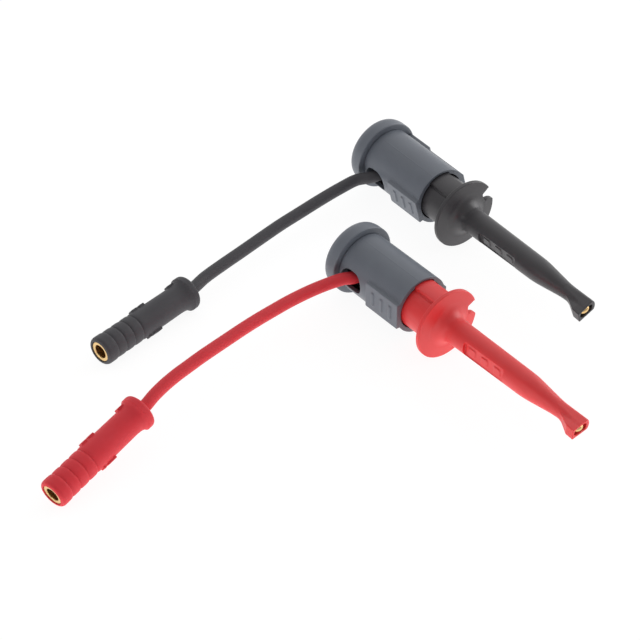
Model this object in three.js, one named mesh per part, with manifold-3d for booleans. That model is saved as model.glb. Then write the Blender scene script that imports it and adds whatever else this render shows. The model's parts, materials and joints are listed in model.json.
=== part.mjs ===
// A pair of spring-loaded hook clips for test leads, one red and one black.
// Each clip is a grey handle with a coloured nose tube that slides back into it against a spring.
// A gilt hook wire, fixed in the handle, runs through the nose tube and shows when the nose is
// drawn back.  A short lead leaves the side of the handle and ends in an in-line 4 mm socket.
//
// Millimetres, +Z up.  A clip is modelled on its own axis: x = 0 at the handle's front rim, +x to
// the hook, -y to the side that the lead leaves.  A socket is modelled on its own axis too: x = 0
// at its mouth, +x to the lead.  Both clips then lie on the ground at z = 0.
import * as THREE from "three";
import { mergeVertices } from "three/addons/utils/BufferGeometryUtils.js";
import Module from "manifold-3d";

const wasm = await Module();
wasm.setup();

// ---------------------------------------------------------------- driving dimensions
const FIT = 0.2;                    // free gap round pieces that slide or seat in each other
const TIGHT_FIT = 0.1;              // free gap round a wire or core in its hole
const END_GAP = 0.3;                // gap between the faces of two pieces of one lead
const PAST = 1;                     // how far a cut reaches beyond what it cuts

const BARREL_LENGTH = 25.0;         // grey handle, from the cap to the front rim
const BARREL_RADIUS = 8.75;
const BARREL_WALL = 1.25;
const RIM_ROUND = 0.35;

const CAP_RADIUS = 10.6;            // thumb flange at the rear of the handle
const CAP_THICKNESS = 4.7;
const CAP_DOME_LENGTH = 2.6;        // rounded rear edge
const CAP_DOME_DROP = 1.1;
const CAP_FRONT_ROUND = 0.6;
const SPIGOT_LENGTH = 2.2;          // the cap's ring that plugs into the barrel
const SPIGOT_WALL = 1.7;
const CAP_BOSS_WALL = 1.4;          // boss round the wire anchor's tail
const CAP_BOSS_LENGTH = 2.4;
const CAP_FLOOR = 1.6;              // solid rear wall of the cap

const SLOT_LENGTH = 8.4;            // side opening that the lead leaves by
const SLOT_HEIGHT = 6.6;
const SLOT_TO_CAP = 0.7;

const PAD_HEIGHT = 8.2;             // flat pad moulded on the lead's side, up to the front rim
const PAD_FACE = 8.95;              // from the axis to the pad's face
const PAD_LENGTH = 13.3;
const PAD_CORNER = 0.4;
const RIB_HEIGHT = 3.6;             // narrow rib on the other side, from the cap to the front rim
const RIB_REAR_FACE = 10.0;         // from the axis to the rib's tall rear part
const RIB_REAR_LENGTH = 12.5;
const RIB_FRONT_FACE = 9.25;
const GRIP_BAR_COUNT = 3;           // raised bars across the front pad
const GRIP_BAR_PITCH = 3.6;
const GRIP_BAR_WIDTH = 1.1;
const GRIP_BAR_LENGTH = 4.6;
const GRIP_BAR_RISE = 0.3;

const KEY_WIDTH = 6.6;              // key on the nose tube's guide, which stops it turning
const KEY_RISE = 0.55;
const KEY_ANGLE = 8;                // degrees from the top towards +y

const WIRE_RADIUS = 0.9;            // hook wire
const HOOK_BEND_RADIUS = 1.35;      // to the middle of the wire
const HOOK_RECESS = 0.3;            // from the nose's front face to the hook at rest
const WIRE_IN_ANCHOR = 6.2;         // length of wire held in the anchor

const ANCHOR_RADIUS = 2.6;          // turned brass anchor that holds the wire and the lead
const ANCHOR_FLANGE_RADIUS = 4.2;
const ANCHOR_FLANGE_THICKNESS = 0.9;
const SEAT_THICKNESS = 2.0;         // round plate behind the spring
const SEAT_TO_ANCHOR_TIP = 1.3;

const TRAVEL = 8.5;                 // how far the nose tube slides back
const STOP_GAP = 0.4;               // left between the guide and the seat at full travel
const FLANGE_STAND_OFF = 9.85;      // front rim to the finger flange's rear face at rest
const FLANGE_THICKNESS = 1.1;
const FLANGE_EDGE_ROUND = 0.3;
const FLANGE_DISH = 0.45;           // how far the flange's front rises towards the hub
const HUB_FILLET = 3.4;
const NOTCH_DEPTH = 3.5;            // cut in the flange's edge on the +y side
const NOTCH_TOP = 2.85;
const NOTCH_BOTTOM = 0.25;
const NOTCH_FLARE = 2.6;            // rounded lower corner of the notch

const SHANK_REAR_RADIUS = 3.83;
const SHANK_FRONT_RADIUS = 3.58;
const SHANK_END = 32.9;             // from the flange's front face to the start of the taper
const TAPER_LENGTH = 10.8;
const NECK_RADIUS = 2.25;
const NOSE_LENGTH = 53.6;           // from the flange's front face to the tip
const PANEL_START = 10.6;           // flat panel on the shank, from the flange's front face
const PANEL_LENGTH = 15.0;
const PANEL_DEPTH = 0.75;
const PANEL_END_ROUND = 1.2;

const FOOT_REACH = 4.5;             // from the axis to the foot's flat side, at the tip
const FOOT_SIDE_LEAN = 0.2;         // how much less at the rear of that flat side
const FOOT_SIDE_LENGTH = 2.8;       // length of the flat side
const FOOT_FLARE_LENGTH = 4.7;      // from the neck out to the flat side
const FOOT_ROOT_HEIGHT = 2.2;       // of the flare where it leaves the neck
const FOOT_ROOT_REACH = 1.85;
const FOOT_THICKNESS = 3.4;         // between the foot's two flats at the tip
const FOOT_FRONT_RAKE = 0.7;        // how far the foot's far corner lies behind the near one
const MOUTH_HEIGHT = 2.1;
const MOUTH_MARGIN = 0.2;           // gap round the hook in the mouth

const SPRING_CAVITY_RADIUS = 4.4;   // hollow of the guide
const CAVITY_END = 1.35;            // from the flange's rear face back to the hollow's end
const SPRING_RADIUS = 3.3;          // to the middle of the wire
const SPRING_WIRE_RADIUS = 0.35;
const SPRING_TURNS = 12;
const WASHER_THICKNESS = 0.4;
const WASHER_HOLE_RADIUS = 1.15;

const LEAD_RADIUS = 1.8;
const CORE_RADIUS = 0.9;            // bared strands
const LEAD_EXIT_REACH = 9.0;        // from the clip's axis to where the lead runs free
const LEAD_EXIT_RISE = 0.5;
const LEAD_EXIT_LEAN = 1.2;         // how far the lead has swung to the rear by then
const STRIP_GAP = 0.7;              // from the anchor's side to the end of the insulation
const CORE_DEPTH = 1.65;            // strands inside the anchor's cross hole

const SLEEVE_LENGTH = 34.4;         // soft sleeve of the in-line socket
const SLEEVE_COLLAR_RADIUS = 4.25;  // just behind the mouth
const SLEEVE_MOUTH_ROUND = 0.4;
const SLEEVE_RADIUS = 4.15;
const SLEEVE_WAIST_RADIUS = 3.98;
const SLEEVE_FLARE_RADIUS = 5.1;
const SLEEVE_FLARE_LENGTH = 7.4;
const SLEEVE_REAR_ROUND = 0.9;
const RIB_COUNT = 5;
const RIB_START = 3.9;
const RIB_PITCH = 3.4;
const RIB_GROOVE_WIDTH = 0.7;
const RIB_GROOVE_DEPTH = 0.3;
const LUG_START = 15.6;             // flat lugs on both sides of the sleeve
const LUG_LENGTH = 4.2;
const LUG_WIDTH = 2.6;
const LUG_RISE = 0.45;
const REAR_LUG_START = 28.6;        // one more at the foot of the flare
const REAR_LUG_LENGTH = 2.4;
const SOCKET_ROLL = -35;            // degrees; turns the lugs away from the level
const CONTACT_BORE_RADIUS = 2.0;    // takes a standard 4 mm plug
const CONTACT_RADIUS = 3.0;
const CONTACT_BORE_DEPTH = 19.0;
const CONTACT_BODY_LENGTH = 21.7;
const CONTACT_TAIL_RADIUS = 2.2;
const CONTACT_TAIL_LENGTH = 5.0;
const CONTACT_TAIL_HOLE_DEPTH = 4.4;
const CONTACT_RECESS = 0.3;         // behind the sleeve's mouth
const CONTACT_CHAMFER = 0.35;

// Where things lie: the black clip beside the red one, and each lead's way over the ground.
const BLACK_BEHIND = 33.3;          // the black clip lies this far back along x ...
const BLACK_BESIDE = 36.9;          // ... and this far to the side
const BLACK_YAW = -1.85;            // degrees
const BLACK_ROLL = 14;              // degrees; its pad looks slightly down
const RED_SOCKET = { mouth: [-8.8, -118.0], yaw: 100.6, pitch: 10.0 };
const BLACK_SOCKET = { mouth: [-46.2, -76.4], yaw: 97.7, pitch: 1.2 };
const RED_ROUTE = [
  [-22.4, -12.8, 11.2], [-23.1, -17.9, 11.3], [-23.4, -23.0, 11.4], [-23.3, -28.4, 11.6],
  [-22.9, -34.1, 11.8], [-22.4, -39.8, 12.0], [-21.7, -45.5, 12.2], [-20.9, -51.3, 12.3],
  [-20.2, -57.0, 12.3], [-19.6, -62.5, 12.3], [-19.0, -67.9, 12.1], [-18.5, -72.6, 11.8],
  [-17.8, -77.0, 11.4],
];
const BLACK_ROUTE = [
  [-57.0, 24.9, 8.5], [-57.3, 18.7, 8.2], [-57.2, 11.1, 7.7], [-56.9, 3.3, 7.1],
  [-56.6, -4.4, 6.5], [-55.8, -12.4, 6.0], [-54.8, -20.6, 5.6], [-53.8, -28.6, 5.3],
  [-52.6, -35.4, 5.2],
];

const BARREL_SEGMENTS = 40;
const SHANK_SEGMENTS = 32;
const SMALL_SEGMENTS = 24;
const SLEEVE_SEGMENTS = 24;
const WIRE_SEGMENTS = 12;
const CORNER_SEGMENTS = 2;
const ROUND_END_SEGMENTS = 8;
const LEAD_SIDES = 8;
const LEAD_STEPS = 24;
const CURL_STEPS = 8;
const CURL_SIDES = 5;

// ---------------------------------------------------------------- worked out from them
const BORE_RADIUS = BARREL_RADIUS - BARREL_WALL;
const BARREL_REAR = -BARREL_LENGTH;
const CAP_FRONT = BARREL_REAR - TIGHT_FIT;
const CAP_REAR = CAP_FRONT - CAP_THICKNESS;
const SLOT_REAR = BARREL_REAR + SLOT_TO_CAP;
const SLOT_MIDDLE = SLOT_REAR + SLOT_LENGTH / 2;
const GUIDE_RADIUS = BORE_RADIUS - FIT;
const FLANGE_REAR = FLANGE_STAND_OFF;
const FLANGE_FRONT = FLANGE_REAR + FLANGE_THICKNESS;
const FLANGE_RADIUS = CAP_RADIUS;   // both rest on the ground, so the clip lies level
const SEAT_REAR = SLOT_REAR + SLOT_LENGTH + FIT;
const SEAT_FRONT = SEAT_REAR + SEAT_THICKNESS;
const GUIDE_REAR = SEAT_FRONT + TRAVEL + STOP_GAP;
const ANCHOR_REAR = CAP_REAR + CAP_FLOOR + FIT;
const ANCHOR_TIP = SEAT_FRONT + SEAT_TO_ANCHOR_TIP;
const ANCHOR_FLANGE_FRONT = SEAT_REAR - FIT;
const WIRE_REAR = ANCHOR_TIP - WIRE_IN_ANCHOR;
const LEAD_X = SLOT_MIDDLE;
const TIP = FLANGE_FRONT + NOSE_LENGTH;
const TAPER_START = FLANGE_FRONT + SHANK_END;
const NECK_START = TAPER_START + TAPER_LENGTH;
const BEND_CENTRE = TIP - HOOK_RECESS - WIRE_RADIUS - HOOK_BEND_RADIUS;
const CAVITY_FRONT = FLANGE_REAR - CAVITY_END;
const GROUND = -CAP_RADIUS;         // the ground's height on a clip's own axis
const SLEEVE_BORE_RADIUS = CONTACT_RADIUS + TIGHT_FIT;
const CONTACT_BODY_END = CONTACT_RECESS + CONTACT_BODY_LENGTH;
const CONTACT_END = CONTACT_BODY_END + CONTACT_TAIL_LENGTH;

// ---------------------------------------------------------------- shape helpers
// A closed solid from a three.js geometry: shared corners merged, collapsed triangles dropped.
function solidOf(geometry) {
  const bare = geometry.clone();
  bare.deleteAttribute("normal");
  bare.deleteAttribute("uv");
  const merged = mergeVertices(bare, 1e-4);
  const kept = [];
  const index = merged.index.array;
  for (let i = 0; i < index.length; i += 3) {
    const [a, b, c] = [index[i], index[i + 1], index[i + 2]];
    if (a !== b && b !== c && c !== a) kept.push(a, b, c);
  }
  const vertProperties = new Float32Array(merged.attributes.position.array);
  const triVerts = new Uint32Array(kept);
  return new wasm.Manifold(new wasm.Mesh({ numProp: 3, vertProperties, triVerts }));
}

function geometryOf(solid) {
  const { vertProperties, triVerts } = solid.getMesh();
  const geometry = new THREE.BufferGeometry();
  geometry.setAttribute("position", new THREE.BufferAttribute(vertProperties, 3));
  geometry.setIndex(new THREE.BufferAttribute(triVerts, 1));
  geometry.computeVertexNormals();
  return geometry;
}

// Turned about the x axis.  A profile of [x, radius] points runs forward along the outside; it
// starts and ends on the axis, or comes back along the bore to its first point.
function revolve(profile, segments) {
  const points = profile.map(([x, radius]) => new THREE.Vector2(radius, x));
  const geometry = new THREE.LatheGeometry(points, segments);
  geometry.rotateZ(-Math.PI / 2);
  return solidOf(geometry);
}

function rod(from, to, radius, segments) {
  return revolve([[from, 0], [from, radius], [to, radius], [to, 0]], segments);
}

// Points on an ellipse's arc, in degrees, as [x, radius] points of a profile.
function arc(x, y, radiusX, radiusY, fromAngle, toAngle, steps) {
  const points = [];
  for (let i = 0; i <= steps; i++) {
    const angle = THREE.MathUtils.degToRad(fromAngle + ((toAngle - fromAngle) * i) / steps);
    points.push([x + radiusX * Math.cos(angle), y + radiusY * Math.sin(angle)]);
  }
  return points;
}

// A flat outline pushed along one axis.  Its own x and y are [y, z], [x, z] or [x, y].
const AXES = {
  x: [[0, 1, 0], [0, 0, 1], [1, 0, 0]],
  y: [[1, 0, 0], [0, 0, 1], [0, -1, 0]],
  z: [[1, 0, 0], [0, 1, 0], [0, 0, 1]],
};

function prism(shape, axis, from, to, curveSegments = ROUND_END_SEGMENTS) {
  const settings = { depth: to - from, bevelEnabled: false, curveSegments };
  const geometry = new THREE.ExtrudeGeometry(shape, settings);
  const basis = AXES[axis].map((vector) => new THREE.Vector3(...vector));
  geometry.applyMatrix4(new THREE.Matrix4().makeBasis(...basis));
  const start = axis === "y" ? to : from;
  geometry.translate(...{ x: [start, 0, 0], y: [0, start, 0], z: [0, 0, start] }[axis]);
  return solidOf(geometry);
}

function polygon(points) {
  return new THREE.Shape(points.map(([x, y]) => new THREE.Vector2(x, y)));
}

function roundedRectangle(x0, y0, x1, y1, radius) {
  const shape = new THREE.Shape();
  shape.absarc(x1 - radius, y1 - radius, radius, 0, Math.PI / 2);
  shape.absarc(x0 + radius, y1 - radius, radius, Math.PI / 2, Math.PI);
  shape.absarc(x0 + radius, y0 + radius, radius, Math.PI, 1.5 * Math.PI);
  shape.absarc(x1 - radius, y0 + radius, radius, 1.5 * Math.PI, 2 * Math.PI);
  return shape;
}

function circle(radius, sides) {
  return polygon(arc(0, 0, radius, radius, 0, 360 - 360 / sides, sides - 1));
}

// A round bar or cord of the given sides along a curve.
function tube(curve, radius, sides, steps) {
  return new THREE.ExtrudeGeometry(circle(radius, sides), { steps, extrudePath: curve });
}

class Helix extends THREE.Curve {
  constructor(from, to, radius, turns) {
    super();
    Object.assign(this, { from, to, radius, turns });
  }

  getPoint(t, target = new THREE.Vector3()) {
    const angle = 2 * Math.PI * this.turns * t;
    const x = this.from + (this.to - this.from) * t;
    return target.set(x, this.radius * Math.cos(angle), this.radius * Math.sin(angle));
  }
}

class HookBend extends THREE.Curve {
  getPoint(t, target = new THREE.Vector3()) {
    const angle = Math.PI * (0.5 - t);
    const x = BEND_CENTRE + HOOK_BEND_RADIUS * Math.cos(angle);
    return target.set(x, HOOK_BEND_RADIUS * (Math.sin(angle) - 1), 0);
  }
}

// ---------------------------------------------------------------- handle
function slotOutline() {
  const half = SLOT_HEIGHT / 2;
  return roundedRectangle(SLOT_REAR, -half, SLOT_REAR + SLOT_LENGTH, half, half);
}

// A bar of the key's section along the x axis, from inside the guide up to a round top.
function keyBar(width, top, from, to) {
  const half = width / 2;
  const inside = GUIDE_RADIUS - 2 * KEY_RISE;
  const lean = THREE.MathUtils.radToDeg(Math.asin(half / top));
  const section = [[-half, inside], [half, inside], ...arc(0, 0, top, top, 90 - lean, 90 + lean, 4)];
  return prism(polygon(section), "x", from, to).rotate([-KEY_ANGLE, 0, 0]);
}

function pad() {
  const half = PAD_HEIGHT / 2;
  const outline = roundedRectangle(-PAD_LENGTH, -half, 0, half, PAD_CORNER);
  return prism(outline, "y", -PAD_FACE, 0, CORNER_SEGMENTS);
}

function gripBar(x) {
  const half = GRIP_BAR_LENGTH / 2;
  const edge = GRIP_BAR_WIDTH / 2;
  const outline = roundedRectangle(x - edge, -half, x + edge, half, edge);
  return prism(outline, "y", -PAD_FACE - GRIP_BAR_RISE, -PAD_FACE + GRIP_BAR_RISE, 2 * CORNER_SEGMENTS);
}

// Seen from above: tall behind, with its front corner rounded off, and low in front.
function rib() {
  const tallEnd = BARREL_REAR + RIB_REAR_LENGTH;
  const rise = RIB_REAR_FACE - RIB_FRONT_FACE;
  const outline = polygon([
    [BARREL_REAR, 0], [0, 0], [0, RIB_FRONT_FACE],
    ...arc(tallEnd - rise, RIB_FRONT_FACE, rise, rise, 0, 90, 2 * CORNER_SEGMENTS),
    [BARREL_REAR, RIB_REAR_FACE],
  ]);
  return prism(outline, "z", -RIB_HEIGHT / 2, RIB_HEIGHT / 2);
}

function handleBarrel() {
  const rim = RIM_ROUND;
  let body = revolve([
    [BARREL_REAR, 0], [BARREL_REAR, BARREL_RADIUS], [-rim, BARREL_RADIUS],
    [-rim * 0.3, BARREL_RADIUS - rim * 0.3], [0, BARREL_RADIUS - rim], [0, 0],
  ], BARREL_SEGMENTS);
  body = body.add(pad()).add(rib());
  const padMiddle = -PAD_LENGTH / 2;
  for (let i = 0; i < GRIP_BAR_COUNT; i++) {
    body = body.add(gripBar(padMiddle + (i - (GRIP_BAR_COUNT - 1) / 2) * GRIP_BAR_PITCH));
  }
  body = body.subtract(rod(BARREL_REAR - PAST, PAST, BORE_RADIUS, BARREL_SEGMENTS));
  const keywayTop = GUIDE_RADIUS + KEY_RISE + FIT;
  body = body.subtract(keyBar(KEY_WIDTH + 2 * FIT, keywayTop, SEAT_REAR, PAST));
  return body.subtract(prism(slotOutline(), "y", -PAD_FACE - PAST, 0));
}

function handleCap() {
  const spigot = BORE_RADIUS - FIT;
  const spigotFront = CAP_FRONT + SPIGOT_LENGTH;
  const hole = ANCHOR_RADIUS + FIT;
  const boss = hole + CAP_BOSS_WALL;
  const floor = CAP_REAR + CAP_FLOOR;
  const pocket = CAP_FRONT - CAP_FLOOR;
  const domeX = CAP_REAR + CAP_DOME_LENGTH;
  const domeY = CAP_RADIUS - CAP_DOME_DROP;
  const cap = revolve([
    [CAP_REAR, 0],
    ...arc(domeX, domeY, CAP_DOME_LENGTH, CAP_DOME_DROP, 180, 90, 4),
    ...arc(CAP_FRONT - CAP_FRONT_ROUND, CAP_RADIUS - CAP_FRONT_ROUND,
      CAP_FRONT_ROUND, CAP_FRONT_ROUND, 90, 0, 2),
    [CAP_FRONT, spigot], [spigotFront, spigot], [spigotFront, spigot - SPIGOT_WALL],
    [pocket, spigot - SPIGOT_WALL], [pocket, boss], [CAP_FRONT + CAP_BOSS_LENGTH, boss],
    [CAP_FRONT + CAP_BOSS_LENGTH, hole], [floor, hole], [floor, 0],
  ], BARREL_SEGMENTS);
  const relief = roundedRectangle(CAP_FRONT + TIGHT_FIT, -SLOT_HEIGHT / 2 - FIT,
    SLOT_MIDDLE, SLOT_HEIGHT / 2 + FIT, FIT);
  return cap.subtract(prism(relief, "y", -BARREL_RADIUS, -boss - FIT));
}

// Brass: the wire is pressed into its front, the lead's strands into its side.
function wireAnchor() {
  const wireHole = WIRE_RADIUS + TIGHT_FIT;
  const flangeRear = ANCHOR_FLANGE_FRONT - ANCHOR_FLANGE_THICKNESS;
  const anchor = revolve([
    [ANCHOR_REAR, 0], [ANCHOR_REAR, ANCHOR_RADIUS], [flangeRear, ANCHOR_RADIUS],
    [flangeRear, ANCHOR_FLANGE_RADIUS], [ANCHOR_FLANGE_FRONT, ANCHOR_FLANGE_RADIUS],
    [ANCHOR_FLANGE_FRONT, ANCHOR_RADIUS], [ANCHOR_TIP, ANCHOR_RADIUS], [ANCHOR_TIP, wireHole],
    [WIRE_REAR - TIGHT_FIT, wireHole], [WIRE_REAR - TIGHT_FIT, 0],
  ], SMALL_SEGMENTS);
  const depth = ANCHOR_RADIUS - CORE_DEPTH - TIGHT_FIT;
  const crossHole = rod(depth, ANCHOR_RADIUS + FIT, CORE_RADIUS + TIGHT_FIT, WIRE_SEGMENTS);
  return anchor.subtract(crossHole.rotate([0, 0, -90]).translate([LEAD_X, 0, 0]));
}

function springSeat() {
  const hole = ANCHOR_RADIUS + FIT;
  return revolve([
    [SEAT_REAR, hole], [SEAT_REAR, GUIDE_RADIUS], [SEAT_FRONT, GUIDE_RADIUS],
    [SEAT_FRONT, hole], [SEAT_REAR, hole],
  ], BARREL_SEGMENTS);
}

function hookWire() {
  const shaft = rod(WIRE_REAR, BEND_CENTRE, WIRE_RADIUS, WIRE_SEGMENTS);
  return shaft.add(solidOf(tube(new HookBend(), WIRE_RADIUS - 0.004, WIRE_SEGMENTS, 12)));
}

function returnSpring() {
  const from = SEAT_FRONT + FIT + SPRING_WIRE_RADIUS;
  const to = CAVITY_FRONT - WASHER_THICKNESS - 2 * FIT - SPRING_WIRE_RADIUS;
  const helix = new Helix(from, to, SPRING_RADIUS, SPRING_TURNS);
  const gap = (to - from) / SPRING_TURNS - 2 * SPRING_WIRE_RADIUS;
  console.log(`return spring: least gap between curls ${gap.toFixed(2)} mm`);
  return tube(helix, SPRING_WIRE_RADIUS, CURL_SIDES, SPRING_TURNS * CURL_STEPS);
}

// ---------------------------------------------------------------- nose tube
function noseProfile() {
  const edge = FLANGE_EDGE_ROUND;
  const hubTop = SHANK_REAR_RADIUS + HUB_FILLET;
  const hubX = FLANGE_FRONT + FLANGE_DISH;
  return [
    [GUIDE_REAR, 0], [GUIDE_REAR, GUIDE_RADIUS - RIM_ROUND], [GUIDE_REAR + RIM_ROUND, GUIDE_RADIUS],
    [FLANGE_REAR, GUIDE_RADIUS], [FLANGE_REAR, FLANGE_RADIUS - edge],
    [FLANGE_REAR + edge, FLANGE_RADIUS], [FLANGE_FRONT - edge, FLANGE_RADIUS],
    [FLANGE_FRONT, FLANGE_RADIUS - edge],
    ...arc(hubX + HUB_FILLET, hubTop, HUB_FILLET, HUB_FILLET, 180, 270, 5),
    [TAPER_START, SHANK_FRONT_RADIUS], [NECK_START, NECK_RADIUS], [TIP, NECK_RADIUS], [TIP, 0],
  ];
}

// The foot's wing: flares out from a low root in the neck's side to a short flat side.
function footWing() {
  const sideStart = TIP - FOOT_SIDE_LENGTH;
  const root = sideStart - FOOT_FLARE_LENGTH;
  const half = FOOT_THICKNESS / 2;
  const corners = [];
  for (const side of [-1, 1]) {
    corners.push([root, 0, (side * FOOT_ROOT_HEIGHT) / 2], [root, -FOOT_ROOT_REACH, (side * FOOT_ROOT_HEIGHT) / 2]);
    corners.push([sideStart, -FOOT_REACH + FOOT_SIDE_LEAN, side * half], [TIP, -FOOT_REACH, side * half]);
    corners.push([TIP, 0, side * half], [sideStart, 0, side * half]);
  }
  return wasm.Manifold.hull(corners);
}

// What is shaved off above (side 1) or below (side -1): one flat from the neck down to the tip.
function flatCut(side) {
  const half = FOOT_THICKNESS / 2;
  const slope = (NECK_RADIUS - half) / (TIP - NECK_START);
  const high = FLANGE_RADIUS;
  const points = [
    [NECK_START, NECK_RADIUS], [TIP + PAST, half - slope * PAST], [TIP + PAST, high], [NECK_START, high],
  ];
  const outline = polygon(side > 0 ? points : points.map(([x, z]) => [x, -z]).reverse());
  return prism(outline, "y", -FOOT_REACH - PAST, NECK_RADIUS + PAST);
}

function mouthCut() {
  const nearSide = -2 * HOOK_BEND_RADIUS - WIRE_RADIUS - MOUTH_MARGIN;
  const farSide = WIRE_RADIUS + MOUTH_MARGIN;
  const half = MOUTH_HEIGHT / 2;
  const outline = roundedRectangle(nearSide, -half, farSide, half, half);
  return prism(outline, "x", BEND_CENTRE - END_GAP, TIP + PAST);
}

function frontRakeCut() {
  const outline = polygon([
    [TIP, -FOOT_REACH], [TIP + PAST, -FOOT_REACH - PAST], [TIP + PAST, NECK_RADIUS + PAST],
    [TIP - FOOT_FRONT_RAKE, NECK_RADIUS + PAST], [TIP - FOOT_FRONT_RAKE, NECK_RADIUS],
  ]);
  return prism(outline, "z", -FLANGE_RADIUS, FLANGE_RADIUS);
}

function notchCut() {
  const inner = FLANGE_RADIUS - NOTCH_DEPTH;
  const outer = FLANGE_RADIUS + PAST;
  const shape = new THREE.Shape();
  shape.moveTo(inner, NOTCH_BOTTOM);
  shape.lineTo(inner + NOTCH_DEPTH * 0.25, NOTCH_BOTTOM);
  shape.quadraticCurveTo(FLANGE_RADIUS, NOTCH_BOTTOM - NOTCH_FLARE * 0.15,
    outer, NOTCH_BOTTOM - NOTCH_FLARE * 1.6);
  shape.lineTo(outer, NOTCH_TOP + NOTCH_DEPTH * 0.25);
  shape.lineTo(inner, NOTCH_TOP);
  return prism(shape, "x", FLANGE_REAR - PAST, FLANGE_FRONT + HUB_FILLET);
}

function panelCut() {
  const start = FLANGE_FRONT + PANEL_START;
  const half = SHANK_REAR_RADIUS;
  const outline = roundedRectangle(start, -half, start + PANEL_LENGTH, half, PANEL_END_ROUND);
  const floor = -SHANK_FRONT_RADIUS + PANEL_DEPTH;
  return prism(outline, "y", -2 * SHANK_REAR_RADIUS, floor, 2 * CORNER_SEGMENTS);
}

function noseTube() {
  const key = keyBar(KEY_WIDTH, GUIDE_RADIUS + KEY_RISE, GUIDE_REAR, FLANGE_REAR + FLANGE_THICKNESS / 2);
  const cavity = rod(GUIDE_REAR - PAST, CAVITY_FRONT, SPRING_CAVITY_RADIUS, SMALL_SEGMENTS);
  const bore = rod(CAVITY_FRONT - PAST, TIP + PAST, WIRE_RADIUS + FIT, WIRE_SEGMENTS);
  const cuts = [cavity, bore, flatCut(1), flatCut(-1), frontRakeCut(), mouthCut(), notchCut(), panelCut()];
  const blank = revolve(noseProfile(), SHANK_SEGMENTS).add(key).add(footWing());
  return cuts.reduce((body, cut) => body.subtract(cut), blank);
}

function noseWasher() {
  const front = CAVITY_FRONT - FIT;
  const rear = front - WASHER_THICKNESS;
  const outer = SPRING_CAVITY_RADIUS - FIT;
  return revolve([
    [rear, WASHER_HOLE_RADIUS], [rear, outer], [front, outer], [front, WASHER_HOLE_RADIUS],
    [rear, WASHER_HOLE_RADIUS],
  ], SMALL_SEGMENTS);
}

// ---------------------------------------------------------------- lead and socket
// The stretch inside the handle leaves the anchor square and leans to the rear as it comes out.
function leadInHandle() {
  const inner = new THREE.Vector3(LEAD_X, -ANCHOR_RADIUS - STRIP_GAP, 0);
  const square = new THREE.Vector3(LEAD_X, -(ANCHOR_RADIUS + LEAD_EXIT_REACH) / 2, 0);
  const exit = new THREE.Vector3(LEAD_X - LEAD_EXIT_LEAN, -LEAD_EXIT_REACH, LEAD_EXIT_RISE);
  return new THREE.QuadraticBezierCurve3(inner, square, exit);
}

function leadHandleEnd() {
  return tube(leadInHandle(), LEAD_RADIUS, LEAD_SIDES, 4);
}

function leadHandleCore() {
  const deep = new THREE.Vector3(LEAD_X, -ANCHOR_RADIUS + CORE_DEPTH, 0);
  const end = new THREE.Vector3(LEAD_X, -ANCHOR_RADIUS - STRIP_GAP + END_GAP, 0);
  return tube(new THREE.LineCurve3(deep, end), CORE_RADIUS, LEAD_SIDES, 1);
}

// Soft sleeve: a ribbed grip behind the mouth, a plain waist and a flared rear end.
function sleeveProfile() {
  const face = SLEEVE_COLLAR_RADIUS - SLEEVE_MOUTH_ROUND;
  const outside = [
    [0, SLEEVE_BORE_RADIUS], ...arc(SLEEVE_MOUTH_ROUND, face, SLEEVE_MOUTH_ROUND,
      SLEEVE_MOUTH_ROUND, 180, 90, 2),
  ];
  for (let i = 0; i < RIB_COUNT; i++) {
    const groove = RIB_START + i * RIB_PITCH;
    outside.push([groove - RIB_GROOVE_WIDTH / 2, i === 0 ? SLEEVE_COLLAR_RADIUS : SLEEVE_RADIUS]);
    outside.push([groove, SLEEVE_RADIUS - RIB_GROOVE_DEPTH]);
    outside.push([groove + RIB_GROOVE_WIDTH / 2, SLEEVE_RADIUS]);
  }
  const flareStart = SLEEVE_LENGTH - SLEEVE_FLARE_LENGTH;
  const flareEnd = SLEEVE_LENGTH - SLEEVE_REAR_ROUND;
  const rise = SLEEVE_FLARE_RADIUS - SLEEVE_WAIST_RADIUS;
  outside.push(...arc(flareStart, SLEEVE_FLARE_RADIUS, flareEnd - flareStart, rise, 270, 345, 4));
  outside.push([flareEnd, SLEEVE_FLARE_RADIUS]);
  const rearRound = arc(flareEnd, SLEEVE_FLARE_RADIUS - SLEEVE_REAR_ROUND,
    SLEEVE_REAR_ROUND, SLEEVE_REAR_ROUND, 60, 0, 2);
  const tailBore = CONTACT_TAIL_RADIUS + TIGHT_FIT;
  const leadBore = LEAD_RADIUS + TIGHT_FIT;
  const inside = [
    [SLEEVE_LENGTH, leadBore], [CONTACT_END + END_GAP, leadBore], [CONTACT_END + END_GAP, tailBore],
    [CONTACT_BODY_END + END_GAP, tailBore], [CONTACT_BODY_END + END_GAP, SLEEVE_BORE_RADIUS],
    [0, SLEEVE_BORE_RADIUS],
  ];
  return [...outside, ...rearRound, ...inside];
}

function lug(start, length, side) {
  const inside = SLEEVE_WAIST_RADIUS - LUG_RISE;
  const outside = SLEEVE_RADIUS + LUG_RISE;
  const half = LUG_WIDTH / 2;
  const outline = roundedRectangle(start, -half, start + length, half, length / 4);
  return side < 0 ? prism(outline, "y", -outside, -inside, 2) : prism(outline, "y", inside, outside, 2);
}

function socketSleeve() {
  return revolve(sleeveProfile(), SLEEVE_SEGMENTS)
    .add(lug(LUG_START, LUG_LENGTH, -1))
    .add(lug(LUG_START, LUG_LENGTH, 1))
    .add(lug(REAR_LUG_START, REAR_LUG_LENGTH, 1));
}

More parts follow.
